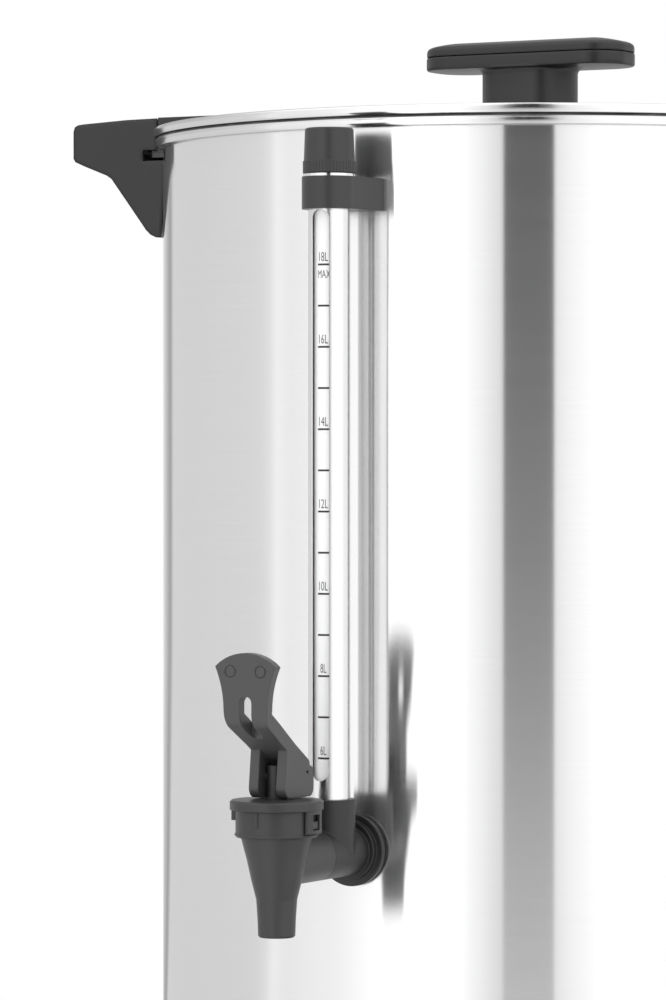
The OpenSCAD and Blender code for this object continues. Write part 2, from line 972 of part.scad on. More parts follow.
module gauge_bracket() {
    color(black_plastic)
        difference() {
            union() {
                at_gauge()
                    translate([0, 0, bracket_z])
                        cylinder(r = bracket_r, h = bracket_h);
                translate([0, 0, bracket_z])
                    linear_extrude(height = bracket_h)
                        bracket_arm_outline();
                at_gauge()
                    translate([0, 0, bracket_top_z])
                        cylinder(r = spigot_r, h = spigot_h, $fn = small_fn);
            }
            translate([0, 0, bracket_z - overrun])
                cylinder(r = shell_r, h = bracket_h + 2 * overrun);
            at_gauge()
                translate([0, 0, bracket_z - overrun]) {
                    cylinder(r = glass_r + fit_gap, h = bracket_h + spigot_h + 2 * overrun, $fn = $fn);
                    cylinder(r = shield_r + fit_gap, h = bracket_seat_h + overrun, $fn = $fn);
                }
            bracket_screw_axis()
                cylinder(
                    r = bracket_screw_r + fit_gap,
                    h = shell_r + bracket_screw_deep + fit_gap,
                    $fn = small_fn
                );
        }
}

module gauge_bracket_screw() {
    color(dark_steel)
        bracket_screw_axis() {
            translate([0, 0, shell_in_r - fit_gap])
                cylinder(r = bracket_screw_r, h = shell_wall + bracket_screw_deep, $fn = small_fn);
            translate([0, 0, shell_in_r - fit_gap - bracket_screw_head_h])
                cylinder(r = bracket_screw_head_r, h = bracket_screw_head_h, $fn = small_fn);
        }
}

module gauge_top_washer() {
    color(steel)
        at_gauge()
            translate([0, 0, bracket_top_z])
                tube(top_washer_r, spigot_r + fit_gap, top_washer_t);
}

module gauge_cap() {
    color(black_plastic)
        at_gauge()
            difference() {
                translate([0, 0, cap_z])
                    rotate_extrude()
                        polygon(concat(
                            [[0, 0], [cap_ring_r, 0], [cap_ring_r, cap_ring_h], [cap_r, cap_ring_h]],
                            arc(cap_top_r - cap_round_r, cap_h - cap_round_r, cap_round_r, 0, 90),
                            [[0, cap_h]]
                        ));
                translate([0, 0, cap_z - overrun])
                    cylinder(r = cap_bore_r, h = cap_h - cap_roof + overrun, $fn = small_fn);
                translate([0, 0, cap_z])
                    cylinder(r = vent_r, h = cap_h + overrun, $fn = small_fn);
                for (i = [0 : cap_knurls - 1])
                    rotate([0, 0, i * 360 / cap_knurls])
                        translate([cap_ring_r, 0, cap_z - overrun])
                            cylinder(r = cap_knurl_r, h = cap_ring_h + 2 * overrun, $fn = small_fn / 3);
            }
}

// Tap

module tap_elbow() {
    color(black_plastic)
        difference() {
            translate([0, 0, tap_z])
                union() {
                    rod_y(pipe_r, joint_y, flange_back_y - joint_y);
                    rod_y(flange_r, flange_back_y - flange_t, flange_t);
                    rod_y(flange_step_r, flange_back_y - flange_t - flange_step_h, flange_step_h + flange_t);
                    rod_y(tail_r, flange_back_y - overrun, flange_washer_t + overrun
                        + shell_wall + jacket_gap + vessel_wall + tail_in);
                    at_gauge()
                        cylinder(r = socket_r, h = socket_h);
                }
            translate([0, 0, tap_z]) {
                rod_y(pipe_bore_r, joint_y - overrun, -joint_y);
                rod_y(spigot_out_r + fit_gap, joint_y - overrun, spigot_in + overrun);
                at_gauge() {
                    cylinder(r = glass_r - glass_wall, h = socket_h + overrun, $fn = small_fn);
                    translate([0, 0, socket_h - seal_deep])
                        cylinder(r = seal_r, h = seal_deep + overrun, $fn = small_fn);
                }
            }
        }
}

module tap_flange_washer() {
    color(rubber_black)
        difference() {
            translate([0, 0, tap_z])
                difference() {
                    rod_y(flange_r - flange_washer_in, flange_back_y, flange_r / 2);
                    rod_y(tail_r + fit_gap, flange_back_y - overrun, flange_r);
                }
            translate([0, 0, tap_z - flange_r - overrun])
                cylinder(r = shell_r, h = 2 * flange_r + 2 * overrun);
        }
}

module tap_spacer() {
    color(dark_steel)
        intersection() {
            translate([0, 0, tap_z])
                difference() {
                    rod_y(spacer_r, -shell_r, shell_wall + jacket_gap + spacer_r);
                    rod_y(tail_r + fit_gap, -shell_r - overrun, shell_r);
                }
            translate([0, 0, tap_z - spacer_r - overrun])
                tube(shell_in_r, vessel_out_r, 2 * spacer_r + 2 * overrun, $fn);
        }
}

module tap_inner_washer() {
    color(silicone)
        intersection() {
            translate([0, 0, tap_z])
                difference() {
                    rod_y(inner_washer_r, -vessel_r, inner_washer_t);
                    rod_y(tail_r + fit_gap, -vessel_r - overrun, vessel_r);
                }
            translate([0, 0, tap_z - inner_washer_r - overrun])
                cylinder(r = vessel_r, h = 2 * inner_washer_r + 2 * overrun);
        }
}

module tap_lock_nut() {
    color(dark_steel)
        translate([0, 0, tap_z])
            difference() {
                rod_y(lock_nut_r, -vessel_r + inner_washer_t, lock_nut_h, hex_sides);
                rod_y(tail_r + fit_gap, -vessel_r, vessel_r);
            }
}

function spout_point(p) = [
    tip_r + p[0] * (throat_r - tip_r),
    -spout_drop + p[1] * (spout_drop + chamber_top_h - collar_h)
];

module spout_profile() {
    band_z = chamber_top_h - collar_h;
    polygon(concat(
        [[outlet_r, -spout_drop], [tip_r - tip_round, -spout_drop], [tip_r, -spout_drop + tip_round]],
        [for (i = [1 : len(spout_outline_shares) - 1]) spout_point(spout_outline_shares[i])],
        [
            [collar_band_r - collar_chamfer, band_z],
            [collar_band_r, band_z + collar_chamfer],
            [collar_band_r, band_z + collar_band_h],
            [collar_r, band_z + collar_band_h],
            [collar_r, chamber_top_h],
            [chamber_r, chamber_top_h],
            [chamber_r, -chamber_drop],
            [outlet_r, -chamber_drop]
        ]
    ));
}

module at_spout() {
    translate([0, spout_y, tap_z])
        children();
}

module tap_body() {
    color(black_plastic)
        difference() {
            union() {
                at_spout() {
                    rotate_extrude()
                        spout_profile();
                    for (i = [0 : rib_count - 1])
                        rotate([0, 0, (i + 0.5) * 360 / rib_count])
                            translate([collar_r - overrun, -rib_w / 2, chamber_top_h - rib_h - fit_gap])
                                cube([rib_out + overrun, rib_w, rib_h]);
                    translate([
                        collar_r - overrun,
                        -clip_slot_w / 2 + lug_play,
                        chamber_top_h - clip_slot_drop - clip_slot_h + lug_play
                    ])
                        cube([
                            bonnet_r - collar_r + overrun - clip_in - clip_t / 2,
                            clip_slot_w - 2 * lug_play,
                            clip_slot_h / 2
                        ]);
                }
                difference() {
                    translate([0, 0, tap_z])
                        union() {
                            rod_y(pipe_r, spout_y, joint_y - spout_y);
                            rod_y(spigot_out_r, joint_y - overrun, spigot_in + overrun);
                        }
                    at_spout()
                        translate([0, 0, -pipe_r - overrun])
                            cylinder(r = chamber_r, h = 2 * pipe_r + 2 * overrun);
                }
            }
            translate([0, 0, tap_z])
                rod_y(pipe_bore_r, spout_y, joint_y - spout_y + spigot_in + overrun);
        }
}

module tap_bonnet() {
    color(black_plastic)
        at_spout()
            difference() {
                union() {
                    rotate_extrude()
                        polygon([
                            [stem_hole_r, chamber_top_h - bonnet_plug_h],
                            [bonnet_plug_r, chamber_top_h - bonnet_plug_h],
                            [bonnet_plug_r, chamber_top_h],
                            [bonnet_r, chamber_top_h],
                            [bonnet_r, chamber_top_h + bonnet_edge_h - collar_chamfer],
                            [bonnet_r - collar_chamfer, chamber_top_h + bonnet_edge_h],
                            [bonnet_hub_r, chamber_top_h + bonnet_hub_h],
                            [stem_hole_r, chamber_top_h + bonnet_hub_h]
                        ]);
                    clip(clip_w, clip_h, bonnet_r - clip_in);
                    mirror([1, 0, 0])
                        clip(short_clip_w, short_clip_h, bonnet_r);
                }
                translate([
                    collar_band_r - overrun,
                    -clip_slot_w / 2,
                    chamber_top_h - clip_slot_drop - clip_slot_h
                ])
                    cube([bonnet_r, clip_slot_w, clip_slot_h]);
            }
}

// Tab that hangs from the bonnet's edge
module clip(w, h, r) {
    intersection() {
        translate([0, 0, chamber_top_h - h])
            tube(r, collar_band_r + fit_gap, h + bonnet_edge_h / 2, $fn);
        translate([0, -w / 2, chamber_top_h - h])
            cube([r, w, h + bonnet_edge_h / 2]);
    }
}

// Helical wire with a polygon section, from flat triangles
module valve_spring() {
    low = stem_low_z + stem_flange_h + spring_wire_r + fit_gap;
    high = tap_z + chamber_top_h - bonnet_plug_h - spring_wire_r - fit_gap;
    rings = spring_turns * spring_steps;
    last = rings * spring_sides;
    points = [
        for (i = [0 : rings])
            for (k = [0 : spring_sides - 1])
                let (
                    a = i * 360 / spring_steps,
                    b = k * 360 / spring_sides,
                    r = spring_coil_r + spring_wire_r * cos(b)
                )
                [r * cos(a), r * sin(a), low + (high - low) * i / rings + spring_wire_r * sin(b)]
    ];
    sides = [
        for (i = [0 : rings - 1])
            for (k = [0 : spring_sides - 1])
                let (
                    a = i * spring_sides + k,
                    b = i * spring_sides + (k + 1) % spring_sides,
                    c = a + spring_sides,
                    d = b + spring_sides
                )
                for (t = [[a, c, b], [b, c, d]])
                    t
    ];
    ends = [
        for (k = [1 : spring_sides - 2])
            for (t = [[0, k, k + 1], [last, last + k + 1, last + k]])
                t
    ];
    color(steel)
        translate([0, spout_y, 0])
            polyhedron(points = points, faces = concat(sides, ends));
}

module valve_stem() {
    color(black_plastic)
        difference() {
            translate([0, spout_y, 0])
                union() {
                    translate([0, 0, stem_low_z])
                        cylinder(r = stem_r, h = pin_z + stem_over_pin - stem_low_z, $fn = small_fn);
                    translate([0, 0, stem_low_z])
                        cylinder(r = stem_flange_r, h = stem_flange_h, $fn = small_fn);
                    translate([0, 0, stem_low_z - cup_socket_deep])
                        cylinder(r = cup_socket_r, h = cup_socket_deep + overrun, $fn = small_fn);
                }
            translate([-cheek_w, spout_y, pin_z])
                rotate([0, 90, 0])
                    cylinder(r = pin_r + run_gap, h = 2 * cheek_w, $fn = small_fn);
        }
}

module seat_cup() {
    color(silicone)
        translate([0, spout_y, cup_z])
            difference() {
                cylinder(r1 = outlet_r + move_gap, r2 = cup_r, h = cup_h, $fn = small_fn);
                translate([0, 0, cup_h - cup_socket_deep - fit_gap])
                    cylinder(r = cup_socket_r + fit_gap, h = cup_socket_deep + overrun, $fn = small_fn);
            }
}

// Lever outlines are drawn with u outward from the spout's axis and v up from the pin

module cheek_outline() {
    seat_u = arm_start_u - arm_seat_share * arm_t;
    difference() {
        polygon(concat(
            arc(cheek_front - cheek_corner_r, cheek_low + cheek_corner_r, cheek_corner_r, -90, 0),
            [[cheek_front - cheek_lean, cheek_front_top], [cheek_back + cheek_back_r, cheek_back_top]],
            arc(cheek_back + cheek_back_r, cheek_back_top - cheek_back_r, cheek_back_r, cheek_back_deg, 180),
            arc(cheek_back + cheek_back_r, cheek_low + cheek_back_r, cheek_back_r, 180, 270)
        ));
        polygon([
            arm_low_point(seat_u),
            arm_low_point(bend_u),
            [bend_u, paddle_top],
            [seat_u, paddle_top]
        ]);
    }
}

arm_angle = atan2(bend_v - arm_start_v, bend_u - arm_start_u);
function arm_low_point(u) = [
    u,
    arm_start_v + (u - arm_start_u) * tan(arm_angle) - arm_t / 2 / cos(arm_angle)
];

module arm_outline() {
    nx = -sin(arm_angle) * arm_t / 2;
    ny = cos(arm_angle) * arm_t / 2;
    paddle_back = paddle_u - paddle_t;
    out_v = arm_low_point(paddle_u - bend_r)[1] + bend_r / cos(arm_angle);
    polygon(concat(
        arc(arm_start_u, arm_start_v, arm_t / 2, arm_angle + 270, arm_angle + 90),
        [[bend_u + nx - bend_r * knee_back_share, bend_v + ny - bend_r * knee_low_share]],
        [[paddle_back, bend_v + ny + bend_r * knee_high_share]],
        [[paddle_back, paddle_top], [paddle_u, paddle_top]],
        arc(paddle_u - bend_r, out_v, bend_r, 0, arm_angle - 90)
    ));
}

module paddle_front_outline() {
    arc_h = paddle_top - paddle_tip_v;
    top_r = (paddle_half * paddle_half + arc_h * arc_h) / (2 * arc_h);
    top_half_deg = asin(paddle_half / top_r);
    rise = paddle_tip_v - paddle_waist_v;
    flare = paddle_half - paddle_waist_half;
    right = [
        for (i = [0 : paddle_side_steps])
            let (t = i / paddle_side_steps)
            [paddle_waist_half + flare * t * t, paddle_waist_v + rise * t]
    ];
    left = [for (i = [paddle_side_steps : -1 : 0]) [-right[i][0], right[i][1]]];
    polygon(concat(
        [[arm_w / 2, cheek_low], [arm_w / 2, arm_wide_v]],
        right,
        arc(0, paddle_top - top_r, top_r, 90 - top_half_deg, 90 + top_half_deg, paddle_top_steps),
        left,
        [[-arm_w / 2, arm_wide_v], [-arm_w / 2, cheek_low]]
    ));
}

module at_pin() {
    translate([0, spout_y, pin_z])
        children();
}

// Extrudes an outline drawn in u and v across the lever's width
module across(w, x = 0) {
    translate([x - w / 2, 0, 0])
        rotate([90, 0, -90])
            mirror([0, 0, 1])
                linear_extrude(height = w)
                    children();
}

module lever() {
    color(black_plastic)
        at_pin()
            difference() {
                union() {
                    for (s = [-1, 1])
                        across(cheek_t, s * (cheek_gap + cheek_t) / 2)
                            cheek_outline();
                    intersection() {
                        across(2 * paddle_half + 2 * overrun)
                            arm_outline();
                        translate([0, paddle_half + overrun, 0])
                            rotate([90, 0, 0])
                                linear_extrude(height = paddle_u + paddle_half + 2 * overrun)
                                    paddle_front_outline();
                    }
                }
                translate([
                    0,
                    -paddle_u + paddle_slot_deep,
                    (paddle_slot_low + paddle_slot_high) / 2
                ])
                    rotate([90, 0, 0])
                        slot(paddle_slot_w, paddle_slot_high - paddle_slot_low, paddle_slot_deep + overrun);
                across(cheek_gap + 2 * pin_seat)
                    circle(r = pin_r + fit_gap, $fn = small_fn);
                for (s = [-1, 1])
                    translate([s * mark_x, -paddle_u + mark_deep, mark_v])
                        rotate([90, 0, 0])
                            tube(mark_r, mark_r - mark_ring_w, mark_deep + overrun);
            }
}

module lever_pin() {
    color(dark_steel)
        at_pin()
            translate([-cheek_gap / 2 - pin_seat + fit_gap, 0, 0])
                rotate([0, 90, 0])
                    cylinder(r = pin_r, h = cheek_gap + 2 * pin_seat - 2 * fit_gap, $fn = small_fn);
}

// Base

module skirt_outline() {
    ledge_z = plate_z + plate_t;
    neck_z = shell_bottom_z - skirt_lip_h;
    polygon([
        [skirt_low_r, skirt_low_z],
        [skirt_neck_r, neck_z],
        [skirt_lip_r, neck_z],
        [skirt_lip_r, shell_bottom_z],
        [shell_in_r - fit_gap, shell_bottom_z],
        [shell_in_r - fit_gap, shell_bottom_z + skirt_collar_h],
        [shell_in_r - skirt_wall, shell_bottom_z + skirt_collar_h],
        [skirt_neck_r - skirt_wall, neck_z],
        [skirt_low_r - skirt_wall, ledge_z + plate_ledge_t],
        [skirt_low_r - skirt_wall - plate_ledge_w, ledge_z + plate_ledge_t],
        [skirt_low_r - skirt_wall - plate_ledge_w, ledge_z],
        [skirt_low_r - skirt_wall, ledge_z],
        [skirt_low_r - skirt_wall, skirt_low_z]
    ]);
}

module base_skirt() {
    color(black_plastic)
        difference() {
            rotate_extrude()
                skirt_outline();
            translate([-window_half, -shell_r - overrun, panel_mid_z - window_h / 2])
                cube([2 * window_half, shell_r / 2, window_h]);
            translate([0, 0, gland_z])
                rod_y(gland_r + fit_gap, shell_r / 2, shell_r);
            panel_screw_places()
                translate([0, 0, -shell_wall])
                    cylinder(r = panel_screw_r + fit_gap, h = panel_screw_len, $fn = small_fn);
        }
}

module foot_places() {
    for (i = [0 : foot_count - 1])
        rotate([0, 0, foot_turn + i * 360 / foot_count])
            translate([foot_pitch_r, 0, 0])
                children();
}

module base_plate() {
    color(dark_steel)
        difference() {
            translate([0, 0, plate_z])
                cylinder(r = plate_r, h = plate_t);
            foot_places()
                cylinder(r = foot_screw_r + fit_gap, h = plate_z + plate_t + overrun, $fn = small_fn);
            for (i = [0 : vent_count - 1])
                rotate([0, 0, i * 360 / vent_count])
                    translate([0, vent_pitch_r, plate_z - overrun])
                        slot(vent_w, vent_len, plate_t + 2 * overrun);
        }
}

module feet() {
    color(rubber_black)
        foot_places()
            difference() {
                cylinder(r1 = foot_low_r, r2 = foot_r, h = foot_h, $fn = small_fn);
                translate([0, 0, -overrun]) {
                    cylinder(r = foot_sink_r, h = foot_sink_h + overrun, $fn = small_fn);
                    cylinder(r = foot_screw_r + fit_gap, h = foot_h + 2 * overrun, $fn = small_fn);
                }
            }
}

module foot_screws() {
    color(dark_steel)
        foot_places() {
            translate([0, 0, foot_sink_h - foot_screw_head_h])
                cylinder(r = foot_screw_head_r, h = foot_screw_head_h, $fn = small_fn);
            translate([0, 0, foot_sink_h - overrun])
                cylinder(
                    r = foot_screw_r,
                    h = foot_h + plate_t + foot_screw_up - foot_sink_h + overrun,
                    $fn = small_fn
                );
        }
}

module element_plate() {
    color(steel)
        translate([0, 0, element_low_z])
            cylinder(r = element_plate_r, h = element_plate_t);
}

module heating_element() {
    tube_z = element_low_z - element_tube_r;
    color(dark_steel)
        union() {
            translate([0, 0, tube_z])
                rotate([0, 0, 90 + element_gap_deg / 2])
                    rotate_extrude(angle = 360 - element_gap_deg)
                        translate([element_r, 0])
                            circle(r = element_tube_r, $fn = small_fn);
            for (s = [-1, 1])
                rotate([0, 0, 90 + s * element_gap_deg / 2])
                    translate([element_r, 0, tube_z - element_end_h])
                        cylinder(r = element_end_r, h = element_end_h + element_tube_r, $fn = small_fn);
        }
}

module thermal_cutout() {
    color(ceramic)
        translate([0, 0, element_low_z - cutout_h]) {
            cylinder(r = cutout_r, h = cutout_h, $fn = small_fn);
            translate([0, 0, cutout_h - cutout_flange_t])
                cylinder(r = cutout_flange_r, h = cutout_flange_t, $fn = small_fn);
        }
}

module terminal_block() {
    color(ceramic)
        translate([-terminal_w / 2, terminal_y, plate_z + plate_t])
            difference() {
                cube([terminal_w, terminal_d, terminal_h]);
                for (i = [0 : terminal_holes - 1])
                    translate([(i + 0.5) * terminal_w / terminal_holes, terminal_d / 2, terminal_h / 3])
                        cylinder(r = terminal_hole_r, h = terminal_h, $fn = small_fn);
            }
}

// Controls

module at_panel(x, dz = 0) {
    translate([x, panel_face_y, panel_mid_z + dz])
        rotate([90, 0, 0])
            children();
}

module panel_block(inset, face_y) {
    translate([0, panel_back_y, panel_mid_z])
        rotate([90, 0, 0])
            linear_extrude(height = panel_back_y - face_y)
                rounded_rect(panel_w - 2 * inset, panel_h - 2 * inset, panel_corner_r - inset);
}

module control_panel() {
    neck_z = shell_bottom_z - skirt_lip_h;
    hole_deep = panel_wall + 2 * overrun;
    hole_w = switch_w - 2 * switch_bezel_t;
    hole_h = switch_h - 2 * switch_bezel_t;
    color(black_plastic)
        difference() {
            union() {
                panel_block(panel_edge, panel_face_y);
                panel_block(0, panel_face_y + panel_edge);
            }
            difference() {
                panel_block(panel_wall, panel_face_y + panel_wall);
                for (s = [-1, 1])
                    at_panel(s * panel_screw_x)
                        translate([0, 0, -panel_out - shell_r])
                            cylinder(r = panel_boss_r, h = panel_out + shell_r, $fn = small_fn);
            }
            translate([0, 0, skirt_low_z])
                cylinder(r1 = skirt_low_r, r2 = skirt_neck_r, h = neck_z - skirt_low_z);
            panel_screw_places()
                cylinder(r = panel_screw_r + fit_gap, h = panel_screw_len + fit_gap, $fn = small_fn);
            at_panel(0)
                translate([0, 0, -hole_deep + overrun])
                    cylinder(r = bushing_r + fit_gap, h = hole_deep, $fn = small_fn);
            for (s = [-1, 1])
                at_panel(lamp_x, s * lamp_pitch / 2)
                    translate([0, 0, -hole_deep + overrun])
                        cylinder(r = lamp_r + fit_gap, h = hole_deep, $fn = small_fn);
            at_panel(switch_x)
                translate([-hole_w / 2, -hole_h / 2, -hole_deep + overrun])
                    cube([hole_w, hole_h, hole_deep]);
        }
}

// Places of the screws that come from inside the skirt into the panel's two bosses
module panel_screw_places() {
    seat_x = panel_screw_x + panel_screw_head_r;
    seat_y = -sqrt(pow(skirt_r(panel_z) - skirt_wall, 2) - pow(seat_x, 2));
    for (s = [-1, 1])
        translate([s * panel_screw_x, seat_y, panel_mid_z])
            rotate([90, 0, 0])
                children();
}

module panel_screws() {
    color(dark_steel)
        panel_screw_places() {
            cylinder(r = panel_screw_r, h = panel_screw_len, $fn = small_fn);
            translate([0, 0, -panel_screw_head_h])
                cylinder(r = panel_screw_head_r, h = panel_screw_head_h, $fn = small_fn);
        }
}

module indicator_lamps() {
    color(lamp_red)
        for (s = [-1, 1])
            at_panel(lamp_x, s * lamp_pitch / 2) {
                translate([0, 0, -lamp_len])
                    cylinder(r = lamp_r, h = lamp_len + lamp_bezel_h, $fn = small_fn);
                cylinder(r = lamp_bezel_r, h = lamp_bezel_h, $fn = small_fn);
            }
}

module switch_housing() {
    inner_w = switch_w - 2 * switch_wall;
    inner_h = 2 * (rocker_r + move_gap);
    color(black_plastic)
        at_panel(switch_x)
            difference() {
                union() {
                    linear_extrude(height = switch_bezel_t)
                        rounded_rect(switch_w, switch_h, switch_bezel_t);
                    translate([
                        -switch_w / 2 + switch_bezel_t + fit_gap,
                        -switch_h / 2 + switch_bezel_t + fit_gap,
                        -switch_body_d
                    ])
                        cube([
                            switch_w - 2 * switch_bezel_t - 2 * fit_gap,
                            switch_h - 2 * switch_bezel_t - 2 * fit_gap,
                            switch_body_d + overrun
                        ]);
                }
                translate([-inner_w / 2, -inner_h / 2, -rocker_pivot_in - rocker_back - rocker_floor_gap])
                    cube([inner_w, inner_h, switch_body_d]);
                translate([-inner_w / 2, 0, -rocker_pivot_in])
                    rotate([0, 90, 0])
                        cylinder(r = rocker_r + move_gap, h = inner_w);
                translate([-rocker_w / 2 - rocker_pin_len - move_gap, 0, -rocker_pivot_in])
                    rotate([0, 90, 0])
                        cylinder(
                            r = rocker_pin_r + run_gap,
                            h = rocker_w + 2 * rocker_pin_len + 2 * move_gap,
                            $fn = small_fn
                        );
            }
}

module rocker_switch() {
    color(black_plastic)
        at_panel(switch_x)
            translate([0, 0, -rocker_pivot_in])
                rotate([rocker_rest_tilt, 0, 0]) {
                    intersection() {
                        translate([-rocker_w / 2, 0, 0])
                            rotate([0, 90, 0])
                                cylinder(r = rocker_r, h = rocker_w);
                        rotate([90, 0, 90])
                            translate([0, 0, -rocker_w / 2])
                                linear_extrude(height = rocker_w)
                                    polygon([
                                        [-rocker_r, 0],
                                        [-rocker_r / 2, -rocker_back],
                                        [rocker_r / 2, -rocker_back],
                                        [rocker_r, 0],
                                        [rocker_r, rocker_face],
                                        [0, rocker_face - rocker_r * tan(rocker_rest_tilt)],
                                        [-rocker_r, rocker_face]
                                    ]);
                    }
                    translate([-rocker_w / 2 - rocker_pin_len, 0, 0])
                        rotate([0, 90, 0])
                            cylinder(r = rocker_pin_r, h = rocker_w + 2 * rocker_pin_len, $fn = small_fn);
                }
}

module thermostat_body() {
    color(ceramic)
        at_panel(0)
            difference() {
                union() {
                    translate([-thermostat_w / 2, -thermostat_h / 2, -panel_wall - thermostat_d])
                        cube([thermostat_w, thermostat_h, thermostat_d]);
                    translate([0, 0, -panel_wall - overrun])
                        cylinder(r = bushing_r, h = panel_wall + overrun, $fn = small_fn);
                }
                translate([0, 0, -shaft_in - panel_wall])
                    cylinder(r = shaft_r + run_gap, h = shaft_in + panel_wall + overrun, $fn = small_fn);
            }
}

module thermostat_dial() {
    color(black_plastic)
        at_panel(0)
            translate([0, 0, dial_gap])
                difference() {
                    union() {
                        cylinder(r = dial_skirt_r, h = dial_skirt_h);
                        cylinder(r1 = dial_r, r2 = dial_r - dial_skirt_h / 2, h = dial_h - dial_ridge_h);
                        translate([-dial_ridge_w / 2, -dial_r + dial_skirt_h, 0])
                            cube([dial_ridge_w, 2 * dial_r - 2 * dial_skirt_h, dial_h]);
                    }
                    for (i = [0 : dial_flutes - 1])
                        rotate([0, 0, (i + 0.5) * 360 / dial_flutes])
                            translate([dial_r, 0, dial_skirt_h])
                                cylinder(r = dial_flute_r, h = dial_h, $fn = small_fn / 2);
                    translate([0, 0, -overrun])
                        cylinder(r = shaft_r + fit_gap, h = dial_h - dial_ridge_h + overrun, $fn = small_fn);
                }
}

module dial_shaft() {
    color(dark_steel)
        at_panel(0)
            translate([0, 0, -shaft_in - panel_wall + move_gap])
                cylinder(
                    r = shaft_r,
                    h = shaft_in + panel_wall - move_gap + dial_gap + dial_h - dial_ridge_h - fit_gap,
                    $fn = small_fn
                );
}

module cord_gland() {
    wall_y = skirt_r(gland_z + gland_flange_r);
    nut_y = skirt_r(gland_z - gland_nut_r) - skirt_wall - gland_nut_play - gland_nut_h;
    color(black_plastic)
        translate([0, 0, gland_z])
            difference() {
                union() {
                    rod_y(gland_r, nut_y - gland_flange_t, wall_y + gland_out - nut_y + gland_flange_t);
                    rod_y(gland_flange_r, wall_y, gland_flange_t);
                    rod_y(gland_nut_r, nut_y, gland_nut_h, hex_sides);
                }
                rod_y(gland_bore_r, shell_r / 2, shell_r);
            }
}

outer_shell();
inner_vessel();
base_skirt();
base_plate();
feet();
foot_screws();
element_plate();
heating_element();
thermal_cutout();
terminal_block();
thermostat_body();
control_panel();
panel_screws();
indicator_lamps();
switch_housing();
cord_gland();
handle_brackets();
handle_left();
handle_right();
handle_screws();
tap_elbow();
tap_flange_washer();
tap_spacer();
tap_inner_washer();
tap_lock_nut();
tap_body();
tap_bonnet();
valve_spring();
gauge_shield();
gauge_glass();
gauge_seal();
gauge_bracket();
gauge_bracket_screw();
gauge_top_washer();
gauge_cap();
valve_stem();
seat_cup();
lever();
lever_pin();
lid_pan();
lid_locating_ring();
lock_tabs();
tab_rivets();
knob_base();
knob_cap();
knob_screw();
knob_washer();
thermostat_dial();
dial_shaft();
rocker_switch();
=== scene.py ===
import json
import math

import bpy
from mathutils import Matrix, Vector


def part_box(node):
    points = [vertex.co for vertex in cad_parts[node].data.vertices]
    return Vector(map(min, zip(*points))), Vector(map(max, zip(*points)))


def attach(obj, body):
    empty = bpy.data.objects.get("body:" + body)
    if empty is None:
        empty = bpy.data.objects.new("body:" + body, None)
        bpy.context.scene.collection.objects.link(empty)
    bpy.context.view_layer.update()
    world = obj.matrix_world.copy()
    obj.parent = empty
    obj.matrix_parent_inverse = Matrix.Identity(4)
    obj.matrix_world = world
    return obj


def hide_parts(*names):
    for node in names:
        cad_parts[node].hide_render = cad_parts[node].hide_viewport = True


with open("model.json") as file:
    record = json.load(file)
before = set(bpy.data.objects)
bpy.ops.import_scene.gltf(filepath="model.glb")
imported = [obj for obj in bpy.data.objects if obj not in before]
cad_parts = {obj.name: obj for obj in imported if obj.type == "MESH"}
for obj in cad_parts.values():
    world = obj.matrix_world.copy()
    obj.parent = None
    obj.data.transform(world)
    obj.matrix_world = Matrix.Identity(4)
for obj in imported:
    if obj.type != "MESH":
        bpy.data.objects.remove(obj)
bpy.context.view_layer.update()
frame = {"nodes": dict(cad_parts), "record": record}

# Dresses the hot water urn: finishes, rolled rims, lid knob, printed scale, panel markings, studio and
# camera. Lengths are in metres and turns in degrees, unless a comment says otherwise.

tube_low, tube_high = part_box("gauge_glass")
shield_low, shield_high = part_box("gauge_shield")
MM = 0.001
MERGE_GAP = 0.01 * MM

# Camera: turned from the tap's side towards +X, with its lens and sensor in millimetres
CAMERA_TURN = 26.4
CAMERA_DISTANCE = 1.9
CAMERA_HEIGHT = 0.3097
CAMERA_YAW = 2.463
CAMERA_PITCH = -0.688
CAMERA_LENS = 164.8
CAMERA_SENSOR = 36

# Studio: its level goes by the turn round the axis from the camera's side, with a dark gap where the
# camera stands. A tilt is the sine of the angle over the horizon.
STUDIO_SCALE = 1.6
GAP_LEFT = -8.0
GAP_RIGHT = 7.3
GAP_EDGE = 0.3
GAP_DARK = 0.0
GAP_DARK_TILT = 0.1
ROOF = 1.45
ROOF_TILTS = (0.35, 0.75)
ROOF_GAP_TILTS = (0.85, 0.97)
BACK_WALL = 0.6
BACK_WALL_TURNS = (95, 130)
BACK_WALL_TILTS = (0.06, 0.2)
# Stops of the panels' level: the turn from the camera's side, and the level there
STUDIO_STOPS = [
    (-180, 1.0), (-169, 0.8), (-163, 0.67), (-157, 0.5), (-153, 0.38), (-151, 0.46),
    (-149.5, 0.68), (-148, 0.76), (-96, 0.83), (-91, 0.85), (-87, 0.95), (-84.5, 1.12),
    (-79, 1.04), (-60, 1.16), (-46, 1.4), (-40, 1.58), (-24, 1.58), (-20, 1.34),
    (-18.1, 1.23), (-14.5, 1.13), (-10.8, 0.97), (-8, 0.9), (8, 1.02), (12.7, 1.17),
    (16.3, 1.24), (22, 1.38), (75, 1.38), (95, 1.0), (155, 0.75), (180, 1.0)
]

